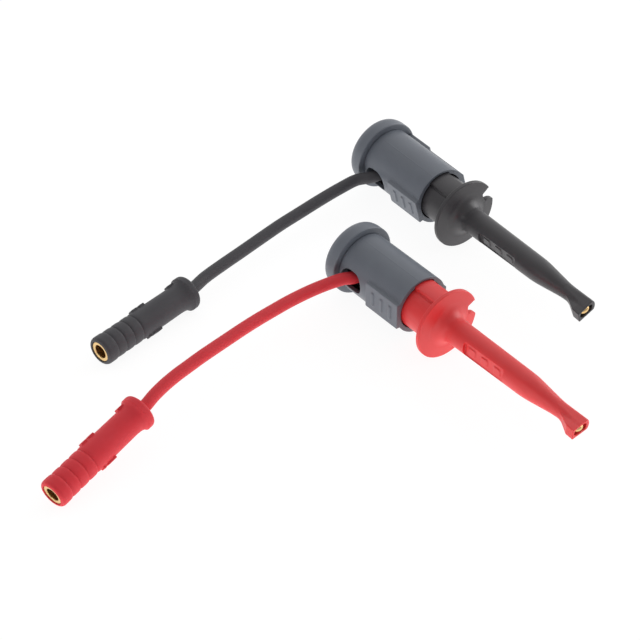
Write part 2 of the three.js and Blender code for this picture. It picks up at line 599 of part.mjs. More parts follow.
function socketContact() {
  const mouth = CONTACT_RECESS;
  const bottom = mouth + CONTACT_BORE_DEPTH;
  const coreHole = CORE_RADIUS + TIGHT_FIT;
  const holeBottom = CONTACT_END - CONTACT_TAIL_HOLE_DEPTH;
  return revolve([
    [bottom, 0], [bottom, CONTACT_BORE_RADIUS], [mouth + CONTACT_CHAMFER, CONTACT_BORE_RADIUS],
    [mouth, CONTACT_BORE_RADIUS + CONTACT_CHAMFER], [mouth, CONTACT_RADIUS],
    [CONTACT_BODY_END, CONTACT_RADIUS], [CONTACT_BODY_END, CONTACT_TAIL_RADIUS],
    [CONTACT_END, CONTACT_TAIL_RADIUS], [CONTACT_END, coreHole], [holeBottom, coreHole], [holeBottom, 0],
  ], SMALL_SEGMENTS);
}

function leadSocketEnd() {
  return rod(CONTACT_END + 2 * END_GAP, SLEEVE_LENGTH, LEAD_RADIUS, LEAD_SIDES * 2);
}

function leadSocketCore() {
  const deep = CONTACT_END - CONTACT_TAIL_HOLE_DEPTH + END_GAP;
  return rod(deep, CONTACT_END + END_GAP, CORE_RADIUS, LEAD_SIDES);
}

// ---------------------------------------------------------------- finishes
function finish(color, roughness, metalness = 0) {
  return new THREE.MeshStandardMaterial({ color, roughness, metalness });
}

const GREY_PLASTIC = finish("#63666e", 0.5);
const BRASS = finish("#c9a65c", 0.35, 1);
const GILT = finish("#e2bf7c", 0.25, 1);
const SPRING_STEEL = finish("#a9abad", 0.35, 1);
const TINNED_STRANDS = finish("#b98a5e", 0.4, 1);
const COLOURS = {
  red: { tube: finish("#c9393b", 0.4), soft: finish("#bb3540", 0.6) },
  black: { tube: finish("#3c3a3d", 0.45), soft: finish("#414145", 0.65) },
};

// ---------------------------------------------------------------- assembly
function piece(name, shape, material) {
  const geometry = shape.isBufferGeometry ? shape : geometryOf(shape);
  const mesh = new THREE.Mesh(geometry, material);
  mesh.name = name;
  return mesh;
}

function clip(colour) {
  const { tube: plastic, soft } = COLOURS[colour];
  const group = new THREE.Group();
  group.add(
    piece(`${colour}_handle_barrel`, handleBarrel(), GREY_PLASTIC),
    piece(`${colour}_handle_cap`, handleCap(), GREY_PLASTIC),
    piece(`${colour}_wire_anchor`, wireAnchor(), BRASS),
    piece(`${colour}_spring_seat`, springSeat(), GREY_PLASTIC),
    piece(`${colour}_hook_wire`, hookWire(), GILT),
    piece(`${colour}_return_spring`, returnSpring(), SPRING_STEEL),
    piece(`${colour}_nose_washer`, noseWasher(), BRASS),
    piece(`${colour}_nose_tube`, noseTube(), plastic),
    piece(`${colour}_lead_handle_end`, leadHandleEnd(), soft),
    piece(`${colour}_lead_handle_core`, leadHandleCore(), TINNED_STRANDS),
  );
  return group;
}

function socket(colour, { mouth, yaw, pitch }) {
  const { soft } = COLOURS[colour];
  const group = new THREE.Group();
  group.add(
    piece(`${colour}_socket_sleeve`, socketSleeve(), soft),
    piece(`${colour}_socket_contact`, socketContact(), GILT),
    piece(`${colour}_lead_socket_end`, leadSocketEnd(), soft),
    piece(`${colour}_lead_socket_core`, leadSocketCore(), TINNED_STRANDS),
  );
  const tilt = THREE.MathUtils.degToRad(pitch);
  const roll = THREE.MathUtils.degToRad(SOCKET_ROLL);
  group.rotation.set(roll, -tilt, THREE.MathUtils.degToRad(yaw), "ZYX");
  const lowest = new THREE.Box3().setFromObject(group, true).min.z;
  group.position.set(mouth[0], mouth[1], -lowest);
  return group;
}

// The lead's free stretch: from just outside the handle, over the chosen points, to just behind
// the socket, leaving and meeting both square to their ends.
function freeLead(colour, clipGroup, socketGroup, route) {
  clipGroup.updateMatrixWorld();
  socketGroup.updateMatrixWorld();
  const inHandle = leadInHandle();
  const outward = inHandle.getTangent(1);
  const start = inHandle.getPoint(1).addScaledVector(outward, END_GAP);
  const beyond = start.clone().addScaledVector(outward, LEAD_RADIUS / 2);
  const socketPoint = (x) => new THREE.Vector3(x, 0, 0).applyMatrix4(socketGroup.matrixWorld);
  const points = [
    start.applyMatrix4(clipGroup.matrixWorld),
    beyond.applyMatrix4(clipGroup.matrixWorld),
    ...route.map((point) => new THREE.Vector3(...point)),
    socketPoint(SLEEVE_LENGTH + END_GAP + LEAD_RADIUS),
    socketPoint(SLEEVE_LENGTH + END_GAP),
  ];
  const curve = new THREE.CatmullRomCurve3(points, false, "centripetal");
  console.log(`${colour} lead: free stretch ${curve.getLength().toFixed(1)} mm`);
  return piece(`${colour}_lead`, tube(curve, LEAD_RADIUS, LEAD_SIDES, LEAD_STEPS), COLOURS[colour].soft);
}

const pair = new THREE.Group();
const redClip = clip("red");
redClip.position.set(0, 0, -GROUND);
const blackClip = clip("black");
blackClip.position.set(-BLACK_BEHIND, BLACK_BESIDE, -GROUND);
blackClip.rotation.set(
  THREE.MathUtils.degToRad(BLACK_ROLL), 0, THREE.MathUtils.degToRad(BLACK_YAW), "ZYX");

// The origin is on the ground, at the middle of the box round the two clips.
const clipsBox = new THREE.Box3().setFromObject(redClip, true);
clipsBox.union(new THREE.Box3().setFromObject(blackClip, true));
const middle = clipsBox.getCenter(new THREE.Vector3());

const redSocket = socket("red", RED_SOCKET);
const blackSocket = socket("black", BLACK_SOCKET);
pair.add(redClip, blackClip, redSocket, blackSocket);
pair.add(freeLead("red", redClip, redSocket, RED_ROUTE));
pair.add(freeLead("black", blackClip, blackSocket, BLACK_ROUTE));
pair.position.set(-middle.x, -middle.y, 0);

export default pair;
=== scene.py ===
# %% [markdown]
# # A pair of spring-loaded hook clips for test leads
# Each clip has a grey handle, and a coloured nose tube that slides back into it and lets a gilt
# hook stick out.  A short lead leaves the side of the handle and ends in an in-line 4 mm socket.
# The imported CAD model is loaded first.  It fixes where everything is; this lesson gives each
# piece its real surface: rounded edges, moulded plastic, soft silicone, gilt metal.

import json
import math

import bmesh
import bpy
import numpy as np
from mathutils import Matrix, Vector


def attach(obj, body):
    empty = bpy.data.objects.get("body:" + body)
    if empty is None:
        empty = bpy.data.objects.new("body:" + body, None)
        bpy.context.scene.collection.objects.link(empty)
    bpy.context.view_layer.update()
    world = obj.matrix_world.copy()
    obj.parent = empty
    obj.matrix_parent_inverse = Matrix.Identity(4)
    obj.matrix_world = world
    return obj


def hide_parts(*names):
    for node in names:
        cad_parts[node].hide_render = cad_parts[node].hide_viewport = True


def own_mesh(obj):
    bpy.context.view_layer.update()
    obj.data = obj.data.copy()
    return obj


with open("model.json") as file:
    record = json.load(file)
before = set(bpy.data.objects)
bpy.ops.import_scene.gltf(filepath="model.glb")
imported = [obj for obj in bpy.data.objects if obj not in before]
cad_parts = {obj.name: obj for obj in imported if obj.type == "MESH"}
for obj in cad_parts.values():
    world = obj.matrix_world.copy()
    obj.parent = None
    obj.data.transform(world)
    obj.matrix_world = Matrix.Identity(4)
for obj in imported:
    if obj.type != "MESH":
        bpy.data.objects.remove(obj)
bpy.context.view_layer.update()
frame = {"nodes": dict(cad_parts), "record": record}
MM = 0.001
print("loaded", len(frame["nodes"]), "nodes")

# %% [markdown]
# ## Where things lie
# Sizes are in millimetres on a clip's own axis: x = 0 at the handle's front rim, +x to the hook,
# -y to the lead's side.  A socket has its own axis too, x = 0 at its mouth, +x to its lead.
# One matrix for each takes these into the row frame, in metres.  The numbers are the CAD model's,
# apart from the sockets' roll, which turns their lugs to the side where the real ones stand.

# %% Matrices of the clips and sockets
PAIR_SHIFT = Vector((-0.57980, -18.87338, 0))  # from the red clip's axis to the row frame's middle
CAP_RADIUS = 10.6  # both flanges of a clip rest on the table, so its axis lies this high


def matrix_of(place, yaw, pitch=0.0, roll=0.0):
    """Local millimetres to metres in the row frame; angles in degrees."""
    turn = (
        Matrix.Rotation(math.radians(yaw), 4, "Z")
        @ Matrix.Rotation(math.radians(-pitch), 4, "Y")
        @ Matrix.Rotation(math.radians(roll), 4, "X")
    )
    move = Matrix.Translation((Vector(place) + PAIR_SHIFT) * MM)
    return move @ turn @ Matrix.Scale(MM, 4)


CLIPS = {
    "red": matrix_of((0, 0, CAP_RADIUS), 0),
    "black": matrix_of((-33.3, 36.9, CAP_RADIUS), -1.85, roll=14),
}
SOCKETS = {
    "red": matrix_of((-8.8, -118.0, 4.100), 100.6, 10.0, 37),
    "black": matrix_of((-46.2, -76.4, 4.378), 97.7, 1.2, 37),
}
COLOURS = ("red", "black")
print("clips at", {colour: [round(v, 4) for v in CLIPS[colour].translation] for colour in COLOURS})

# %% [markdown]
# ## Camera
# A long lens, placed where the photograph's edges of both clips fall on the model's.
# The picture is square.

# %% Camera
CAMERA_PLACE = Vector((366.08, -337.62, 429.49))
CAMERA_BACK = Vector((0.58714, -0.48342, 0.64929))
LENS, SENSOR = 132.4, 36.0
NEAREST, FARTHEST = 0.01, 20

camera_data = bpy.data.cameras.new("camera")
camera_data.lens = LENS
camera_data.sensor_width = SENSOR
camera_data.clip_start, camera_data.clip_end = NEAREST, FARTHEST
camera = bpy.data.objects.new("camera", camera_data)
camera.location = (CAMERA_PLACE + PAIR_SHIFT) * MM
camera.rotation_mode = "QUATERNION"
camera.rotation_quaternion = (-CAMERA_BACK).to_track_quat("-Z", "Y")
bpy.context.scene.collection.objects.link(camera)
bpy.context.scene.camera = camera
print("camera", [round(x, 3) for x in camera.location])

# %% [markdown]
# ## Nodes and colours
# Every material and every Geometry Nodes tree below is built with one small function that adds a
# node, sets its values and makes its links.  Colours are written as sRGB hex values and turned
# to linear ones by a second function.


# %% Helpers for nodes and colours
def add(tree, kind, links=None, **settings):
    """A node of this kind.  links: input name or number to a socket; settings: input or property."""
    node = tree.nodes.new(kind)
    for key, value in settings.items():
        if hasattr(node, key):
            setattr(node, key, value)
        else:
            node.inputs[key.replace("_", " ")].default_value = value
    for key, socket in (links or {}).items():
        tree.links.new(socket, node.inputs[key])
    return node


def srgb(text):
    """Linear RGBA of an sRGB hex colour."""
    values = [int(text[i : i + 2], 16) / 255 for i in (1, 3, 5)]
    linear = [v / 12.92 if v <= 0.04045 else ((v + 0.055) / 1.055) ** 2.4 for v in values]
    return (*linear, 1.0)


# %% [markdown]
# ## Moulded plastic and silicone
# The handle is injection-moulded ABS: satin, with a fine spark-eroded grain that breaks up the
# highlight.  The nose tube is moulded nylon, a little smoother and slightly translucent, so
# light spreads inside it.  The lead and the sleeve are silicone, matt and soft, with a bloom
# of paler dust.  One recipe serves all: a fine bump for the grain, and a slow noise that drifts
# both the colour and the gloss.  Real grain is near 0.1 mm, too fine for the picture to show, so
# it is drawn three to five times as coarse.

# %% Moulded materials
CLOUD_MM = 6.0
PALE_FROM, PALE_TO = 0.35, 0.75
GLOSS_DRIFT = 0.04
GRAIN_STRENGTH = 0.6
RED_REACH = (1.0, 0.25, 0.2)  # red light goes deepest into the plastic
SPREAD_MM = 0.8


def moulded_material(
    name, colour, pale, roughness, grain_mm, grain_depth_mm, ior=1.53, spread=0.0, bloom=0.2
):
    material = bpy.data.materials.new(name)
    material.use_nodes = True
    tree = material.node_tree
    tree.nodes.clear()
    place = add(tree, "ShaderNodeTexCoord").outputs["Object"]
    grain = add(tree, "ShaderNodeTexNoise", {"Vector": place}, Scale=1 / (grain_mm * MM), Detail=3.0)
    cloud = add(tree, "ShaderNodeTexNoise", {"Vector": place}, Scale=1 / (CLOUD_MM * MM), Detail=4.0)
    shade = add(tree, "ShaderNodeMapRange", {"Value": cloud.outputs["Fac"]})
    shade.inputs["From Min"].default_value = PALE_FROM
    shade.inputs["From Max"].default_value = PALE_TO
    shade.inputs["To Max"].default_value = bloom
    tint = add(tree, "ShaderNodeMix", {"Factor": shade.outputs[0]}, data_type="RGBA")
    tint.inputs["A"].default_value = srgb(colour)
    tint.inputs["B"].default_value = srgb(pale)
    gloss = add(tree, "ShaderNodeMapRange", {"Value": cloud.outputs["Fac"]})
    gloss.inputs["To Min"].default_value = roughness - GLOSS_DRIFT
    gloss.inputs["To Max"].default_value = roughness + GLOSS_DRIFT
    bump = add(tree, "ShaderNodeBump", {"Height": grain.outputs["Fac"]}, Strength=GRAIN_STRENGTH)
    bump.inputs["Distance"].default_value = grain_depth_mm * MM
    shader = add(
        tree,
        "ShaderNodeBsdfPrincipled",
        {"Base Color": tint.outputs["Result"], "Roughness": gloss.outputs[0], "Normal": bump.outputs[0]},
        IOR=ior,
    )
    if spread:
        shader.inputs["Subsurface Weight"].default_value = spread
        shader.inputs["Subsurface Radius"].default_value = RED_REACH
        shader.inputs["Subsurface Scale"].default_value = SPREAD_MM * MM
    add(tree, "ShaderNodeOutputMaterial", {"Surface": shader.outputs[0]})
    return material


ABS_GREY = moulded_material("moulded_abs_grey", "#5c616a", "#6e747d", 0.42, 0.35, 0.02)
NYLON = {
    "red": moulded_material("moulded_nylon_red", "#d42a2c", "#dc4244", 0.42, 0.5, 0.007, spread=0.35),
    "black": moulded_material("moulded_nylon_black", "#323033", "#454348", 0.4, 0.5, 0.007),
}
SILICONE_IOR = 1.41
SILICONE = {
    "red": moulded_material(
        "silicone_red", "#cc2a34", "#d4444c", 0.62, 0.3, 0.012, SILICONE_IOR, spread=0.15
    ),
    "black": moulded_material("silicone_black", "#3d3c40", "#575659", 0.58, 0.3, 0.012, SILICONE_IOR),
}
print("moulded materials", [m.name for m in (ABS_GREY, *NYLON.values(), *SILICONE.values())])

# %% [markdown]
# ## Metals
# Gold plate on the hook and the socket, bare turned brass on the anchor and washer, drawn spring
# steel, and bare copper strands.  Turned and drawn metal has fine lines along or round it; here
# a stretched noise makes them, coarser than the real 0.05 mm so that they show.  A metal's colour
# is in its base colour, and a slow noise dulls its gloss in patches, as handling does.

# %% Metal materials
LINE_STRETCH = (1.0, 0.15, 0.15)
STAIN_MM = 3.0
STAIN_DRIFT = 0.08
LINE_STRENGTH = 0.5


def metal_material(name, colour, roughness, line_mm=0.12, line_depth_mm=0.004):
    material = bpy.data.materials.new(name)
    material.use_nodes = True
    tree = material.node_tree
    tree.nodes.clear()
    place = add(tree, "ShaderNodeTexCoord").outputs["Object"]
    stretch = add(tree, "ShaderNodeMapping", {"Vector": place})
    stretch.inputs["Scale"].default_value = LINE_STRETCH
    lines = add(tree, "ShaderNodeTexNoise", {"Vector": stretch.outputs[0]}, Scale=1 / (line_mm * MM))
    stain = add(tree, "ShaderNodeTexNoise", {"Vector": place}, Scale=1 / (STAIN_MM * MM), Detail=3.0)
    gloss = add(tree, "ShaderNodeMapRange", {"Value": stain.outputs["Fac"]})
    gloss.inputs["To Min"].default_value = roughness - STAIN_DRIFT
    gloss.inputs["To Max"].default_value = roughness + STAIN_DRIFT
    bump = add(tree, "ShaderNodeBump", {"Height": lines.outputs["Fac"]}, Strength=LINE_STRENGTH)
    bump.inputs["Distance"].default_value = line_depth_mm * MM
    shader = add(
        tree,
        "ShaderNodeBsdfPrincipled",
        {"Roughness": gloss.outputs[0], "Normal": bump.outputs[0]},
        Metallic=1.0,
    )
    shader.inputs["Base Color"].default_value = srgb(colour)
    add(tree, "ShaderNodeOutputMaterial", {"Surface": shader.outputs[0]})
    return material


GOLD_PLATE = metal_material("gold_plate", "#e8c488", 0.3)
BRASS = metal_material("turned_brass", "#c9a35a", 0.34)
SPRING_STEEL = metal_material("drawn_spring_steel", "#a8abae", 0.32)
COPPER = metal_material("copper_strands", "#c08a62", 0.38)
print("metals", [m.name for m in (GOLD_PLATE, BRASS, SPRING_STEEL, COPPER)])

# %% [markdown]
# ## From shape to piece
# A finished piece has its object at the origin and its place in its mesh.  This helper moves a
# mesh from a clip's or a socket's own millimetres to the row frame, gives it its material, hides
# the CAD node that it stands for, and lets it ride on that node's body.


# %% Finish a piece
BODY_OF = {node: body for body, nodes in frame["record"]["behaviour"]["bodies"].items() for node in nodes}
SLOT_OF = {s["node"]: s["material_slot"] for s in frame["record"]["subparts"]}


def finish_piece(mesh, name, matrix, material, node, smooth_degrees=40):
    mesh.transform(matrix)
    mesh.materials.clear()
    mesh.materials.append(material)
    mesh.shade_smooth()
    mesh.set_sharp_from_angle(angle=math.radians(smooth_degrees))
    piece = bpy.data.objects.new(name, mesh)
    bpy.context.scene.collection.objects.link(piece)
    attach(piece, BODY_OF[node])
    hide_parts(node)
    return piece


def mesh_from(name, vertices, faces):
    mesh = bpy.data.meshes.new(name)
    mesh.from_pydata([tuple(v) for v in vertices], [], [tuple(f) for f in faces])
    mesh.update()
    return mesh


# %% [markdown]
# ## The leads
# A lead is a fixed length of stiff silicone wire, 3.6 mm thick.  It could be modelled straight and
# bent, but its way over the table is plain to see, so its centreline is a smooth curve through
# chosen points: out of the handle, over the table and square into the socket.  The points are
# the CAD model's, apart from the red lead's last five, which ease it into its sleeve.  A curve
# object with a round bevel is the tube itself.

# %% Lead curves
LEAD_RADIUS = 1.8
SLOT_REAR = -24.3
SLOT_LENGTH = 8.4
SLOT_MIDDLE = SLOT_REAR + SLOT_LENGTH / 2
ANCHOR_RADIUS = 2.6
STRIP_GAP = 0.7
EXIT_REACH = 9.0
LEAD_EXIT = Vector((SLOT_MIDDLE - 1.2, -EXIT_REACH, 0.5))
LEAD_INNER = Vector((SLOT_MIDDLE, -ANCHOR_RADIUS - STRIP_GAP, 0))
LEAD_SQUARE = Vector((SLOT_MIDDLE, -(ANCHOR_RADIUS + EXIT_REACH) / 2, 0))
SLEEVE_LENGTH = 34.4
ROUTES = {
    "red": [
        (-22.4, -12.8, 11.2), (-23.1, -17.9, 11.3), (-23.4, -23.0, 11.4), (-23.3, -28.4, 11.6),
        (-22.9, -34.1, 11.8), (-22.4, -39.8, 12.0), (-21.7, -45.5, 12.2), (-20.9, -51.3, 12.3),
        (-20.2, -57.0, 12.3), (-19.6, -61.5, 12.3), (-19.0, -66.0, 12.1), (-18.4, -70.4, 11.9),
        (-17.6, -75.0, 11.5), (-16.5, -79.4, 11.0),
    ],
    "black": [
        (-57.0, 24.9, 8.5), (-57.3, 18.7, 8.2), (-57.2, 11.1, 7.7), (-56.9, 3.3, 7.1),
        (-56.6, -4.4, 6.5), (-55.8, -12.4, 6.0), (-54.8, -20.6, 5.6), (-53.8, -28.6, 5.3),
        (-52.6, -35.4, 5.2),
    ],
}


def smooth_path(points, steps=12):
    """Centripetal Catmull-Rom curve through the points."""
    points = [np.array(p, float) for p in points]
    points = [2 * points[0] - points[1], *points, 2 * points[-1] - points[-2]]
    path = []
    for p0, p1, p2, p3 in zip(points, points[1:], points[2:], points[3:]):
        t1 = np.linalg.norm(p1 - p0) ** 0.5
        t2 = t1 + np.linalg.norm(p2 - p1) ** 0.5
        t3 = t2 + np.linalg.norm(p3 - p2) ** 0.5
        for t in np.linspace(t1, t2, steps, endpoint=False):
            a1 = (t1 - t) / t1 * p0 + t / t1 * p1
            a2 = (t2 - t) / (t2 - t1) * p1 + (t - t1) / (t2 - t1) * p2
            a3 = (t3 - t) / (t3 - t2) * p2 + (t - t2) / (t3 - t2) * p3
            b1 = (t2 - t) / t2 * a1 + t / t2 * a2
            b2 = (t3 - t) / (t3 - t1) * a2 + (t - t1) / (t3 - t1) * a3
            path.append((t2 - t) / (t2 - t1) * b1 + (t - t1) / (t2 - t1) * b2)
    path.append(points[-2])
    return np.array(path)


def bezier(a, b, c, steps):
    """Points along the curve that leaves a and reaches c, both towards b."""
    return [a * (1 - t) ** 2 + b * 2 * t * (1 - t) + c * t * t for t in np.linspace(0, 1, steps + 1)]


# %% The leads
LEAVING = (LEAD_EXIT - LEAD_SQUARE).normalized()
LEAD_ROUNDNESS = 7


def lead_curve(colour):
    """The free lead, the point where it leaves the handle, and its length in metres."""
    to_clip, to_socket = CLIPS[colour], SOCKETS[colour]
    ends = [to_clip @ LEAD_EXIT, to_clip @ (LEAD_EXIT + LEAVING * LEAD_RADIUS / 2)]
    route = [(Vector(p) + PAIR_SHIFT) * MM for p in ROUTES[colour]]
    arrival = [to_socket @ Vector((SLEEVE_LENGTH + x, 0, 0)) for x in (LEAD_RADIUS, 0.0)]
    path = smooth_path([*ends, *route, *arrival])
    data = bpy.data.curves.new(f"{colour}_free_lead", "CURVE")
    data.dimensions = "3D"
    data.bevel_depth = LEAD_RADIUS * MM
    data.bevel_resolution = LEAD_ROUNDNESS
    data.use_fill_caps = True
    spline = data.splines.new("POLY")
    spline.points.add(len(path) - 1)
    spline.points.foreach_set("co", np.column_stack([path, np.ones(len(path))]).ravel())
    data.materials.append(SILICONE[colour])
    lead = bpy.data.objects.new(f"{colour}_free_lead", data)
    bpy.context.scene.collection.objects.link(lead)
    node = f"{colour}_lead"
    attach(lead, BODY_OF[node])
    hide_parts(node)
    length = float(np.linalg.norm(np.diff(path, axis=0), axis=1).sum())
    print(colour, "lead", round(length / MM, 1), "mm")
    return lead, ends[0], length


LEADS = {colour: lead_curve(colour) for colour in COLOURS}

# %% [markdown]
# ## A mesh from a rule
# The barrel, the nose tube and the sleeve are round forms with flats, slots and bosses melted
# into them, and every edge is rounded as a mould leaves it.  Booleans with bevels tear on such
# forms.  Here each is a rule instead: a function of x, y, z that is negative inside the plastic.
# Joining two rules with a soft minimum gives the fillet.  The mesh is found on a grid that runs
# round the axis, so its faces follow the form: one vertex in each grid cell that the surface
# crosses, moved onto the surface, and one face across each grid edge that it crosses.


# %% Soft joins and cuts
def soft_join(a, b, fillet):
    """The union of two shapes with a fillet where they meet."""
    blend = np.maximum(fillet - np.abs(a - b), 0)
    return np.minimum(a, b) - blend * blend / (4 * fillet)


def soft_cut(a, b, fillet):
    """What two shapes have in common, with its edge rounded."""
    return -soft_join(-a, -b, fillet)


def spaced(*stops):
    """Grid lines: start, then pairs of (to, step)."""
    lines = [stops[0]]
    for to, step in stops[1:]:
        count = max(1, round(abs(to - lines[-1]) / step))
        lines.extend(np.linspace(lines[-1], to, count + 1)[1:])
    return np.array(lines)


# %% Vertices on the surface
CORNERS = [(a, b, c) for a in (0, 1) for b in (0, 1) for c in (0, 1)]
PULLS = 3  # times each vertex is moved onto the surface


def step_to_surface(rule, points, probe=1e-3):
    """How far each point is off the surface, along the rule's slope."""
    value = rule(*points.T)
    slope = np.stack(
        [
            (rule(*(points + offset).T) - rule(*(points - offset).T)) / (2 * probe)
            for offset in np.eye(3) * probe
        ],
        1,
    )
    return slope * (value / np.maximum((slope**2).sum(1), 1e-6))[:, None]


def crossing_points(grid, value, cells):
    """In each cell, the middle of the places where the surface crosses its edges."""
    total, hits = np.zeros((len(cells), 3)), np.zeros(len(cells))
    for a in CORNERS:
        for axis in range(3):
            if a[axis]:
                continue
            b = tuple(1 if i == axis else a[i] for i in range(3))
            ia, ib = cells + a, cells + b
            va, vb = value[tuple(ia.T)], value[tuple(ib.T)]
            crossed = (va < 0) != (vb < 0)
            share = np.where(crossed, va / np.where(crossed, va - vb, 1), 0)
            ends = [np.stack([grid[i][index[:, i]] for i in range(3)], 1) for index in (ia, ib)]
            total += np.where(crossed[:, None], ends[0] + share[:, None] * (ends[1] - ends[0]), 0)
            hits += crossed
    x, angle, radius = (total / hits[:, None]).T
    return np.stack([x, radius * np.cos(angle), radius * np.sin(angle)], 1)


# %% Faces across the grid
def crossing_faces(inside, number, sides):
    """One face across each grid edge that has one end inside, wound so that it looks outwards."""
    faces = []
    for axis, (u, v) in enumerate(((1, 2), (2, 0), (0, 1))):
        low = [slice(None)] * 3
        high = [slice(None)] * 3
        low[axis], high[axis] = slice(0, -1), slice(1, None)
        nodes = inside[:, :-1] if axis != 1 else inside
        changed = nodes[tuple(low)] != nodes[tuple(high)]
        edges = np.argwhere(changed)
        outward = nodes[tuple(low)][tuple(edges.T)]
        ring = []
        for du, dv in ((-1, -1), (0, -1), (0, 0), (-1, 0)):
            cell = edges.copy()
            cell[:, u] += du
            cell[:, v] += dv
            cell[:, 1] %= sides
            ring.append(number[tuple(cell.T)])
        quads = np.stack(ring, 1)
        quads[outward] = quads[outward][:, ::-1]
        faces.append(quads)
    return np.concatenate(faces)


def surface_mesh(name, rule, xs, radii, sides, finer_at=()):
    """The surface where rule(x, y, z) is 0, found on a grid of x, angle and radius."""
    angles = np.unique(np.concatenate([np.arange(sides) * 2 * math.pi / sides, finer_at]))
    x, angle, radius = np.meshgrid(xs, angles, radii, indexing="ij")
    value = rule(x, radius * np.cos(angle), radius * np.sin(angle))
    value = np.concatenate([value, value[:, :1]], axis=1)  # the last angle meets the first
    inside = value < 0
    shape = tuple(n - 1 for n in inside.shape)
    count = np.zeros(shape, int)
    for corner in CORNERS:
        count += inside[tuple(slice(o, o + n) for o, n in zip(corner, shape))]
    cells = np.argwhere((count > 0) & (count < len(CORNERS)))
    number = -np.ones(shape, int)
    number[tuple(cells.T)] = np.arange(len(cells))
    points = crossing_points([xs, np.append(angles, 2 * math.pi), radii], value, cells)
    reach = 0.5 * min(np.diff(radii).min(), np.diff(xs).min())
    for _ in range(PULLS):
        points -= np.clip(step_to_surface(rule, points), -reach, reach)
    mesh = mesh_from(name, points, crossing_faces(inside, number, len(angles)))
    print(name, len(points), "vertices")
    return mesh


# %% [markdown]
# ## Handle barrel
# A grey tube, 17.5 mm across.  On the lead's side a flat pad stands out of it up to the front
# rim, and behind that is the stadium-shaped slot for the lead.  A narrow rib runs along the far
# side, tall behind and low in front.  Inside, a keyway guides the nose tube's key.  Three plain
# grip bars cross the pad, and a fine parting line shows where the mould closed.  It could be a
# cylinder with Booleans; a rule gives the same forms and rounds every edge as well.

# %% Handle barrel: sizes
BARREL_LENGTH = 25.0
BARREL_RADIUS = 8.75
BORE_RADIUS = 7.45
FIT, SNUG = 0.2, 0.1
SPIGOT_RADIUS = 7.25
GUIDE_RADIUS = 7.05
RIM_ROUND = 0.14
REAR_ROUND = 0.2
KEY_ANGLE = math.radians(8)
KEY_WIDTH = 6.6
KEY_TOP = 7.75
KEYWAY_GAP = 0.25
PAD_FACE = 8.95
PAD_HALF = 4.1
PAD_LENGTH = 13.3
PAD_CORNER = 0.45
RIB_HALF = 1.8
RIB_RAMP = 0.9
RIB_REAR_FACE, RIB_FRONT_FACE = 10.0, 9.25
RIB_REAR_LENGTH = 9.3
SLOT_HEIGHT = 6.6
SEAT_REAR = SLOT_REAR + SLOT_LENGTH + FIT
GRIP_BARS = [-PAD_LENGTH / 2 + i * 3.6 for i in (-1, 0, 1)]
GRIP_BAR_REACH, GRIP_BAR_RADIUS, GRIP_BAR_HEIGHT = 1.75, 0.55, 0.3
PARTING_ANGLE = math.radians(95.4)
PARTING_RISE, PARTING_WIDTH = 0.045, 0.11
PARTING_LINES = PARTING_ANGLE + np.linspace(-0.04, 0.04, 21)
print("barrel", BARREL_LENGTH, "long,", 2 * BARREL_RADIUS, "across, bore", 2 * BORE_RADIUS)


# %% Handle barrel: its forms
def key_rule(y, z, width, top):
    """A bar along x with a round top, leaning by the key's angle."""
    across = y * math.cos(KEY_ANGLE) - z * math.sin(KEY_ANGLE)
    up = y * math.sin(KEY_ANGLE) + z * math.cos(KEY_ANGLE)
    return np.maximum(soft_cut(np.abs(across) - width / 2, np.hypot(y, z) - top, 0.2), -up)


def pad_rule(x, y, z):
    """The flat pad on the lead's side."""
    ends = soft_cut(np.abs(z) - PAD_HALF, -PAD_LENGTH - x, PAD_CORNER)
    return np.maximum(soft_cut(ends, -y - PAD_FACE, RIM_ROUND), y)


def rib_rule(x, y, z):
    """The rib on the far side: a tall part, a ramp and a low part."""
    tall = soft_cut(x + BARREL_LENGTH - RIB_REAR_LENGTH, y - RIB_REAR_FACE, RIB_RAMP)
    outline = soft_join(tall, y - RIB_FRONT_FACE, 0.1)
    return np.maximum(soft_cut(outline, np.abs(z) - RIB_HALF, 0.25), -y)


def barrel_rule(x, y, z):
    """All of the barrel; its bare last numbers are the fillets and rounds of its edges."""
    radius = np.hypot(y, z)
    from_parting = (np.arctan2(z, y) - PARTING_ANGLE) * BARREL_RADIUS
    body = radius - BARREL_RADIUS - PARTING_RISE * np.exp(-((from_parting / PARTING_WIDTH) ** 2))
    body = soft_join(body, pad_rule(x, y, z), 0.15)
    body = soft_join(body, rib_rule(x, y, z), 0.25)
    for middle in GRIP_BARS:
        bar = np.hypot(np.maximum(np.abs(z) - GRIP_BAR_REACH, 0), x - middle) - GRIP_BAR_RADIUS
        bar = np.maximum(soft_cut(bar, -y - PAD_FACE - GRIP_BAR_HEIGHT, 0.2), y)
        body = soft_join(body, bar, 0.2)
    body = soft_cut(body, x, RIM_ROUND)
    body = soft_cut(body, -BARREL_LENGTH - x, REAR_ROUND)
    body = soft_cut(body, BORE_RADIUS - radius, 0.1)
    keyway = key_rule(y, z, KEY_WIDTH + 2 * FIT, KEY_TOP + KEYWAY_GAP)
    body = soft_cut(body, -np.maximum(keyway, SEAT_REAR - x), 0.15)
    half_height = SLOT_HEIGHT / 2
    straight = SLOT_LENGTH / 2 - half_height
    slot = np.hypot(np.maximum(np.abs(x - SLOT_MIDDLE) - straight, 0), z) - half_height
    return soft_cut(body, -np.maximum(slot, y), 0.22)


# %% Handle barrel: mesh
BARREL_LINES = spaced(-25.3, (-24.7, 0.1), (-0.6, 0.2), (0.3, 0.1))
BARREL_RINGS = spaced(7.0, (10.5, 0.14))
BARREL_SIDES = 272

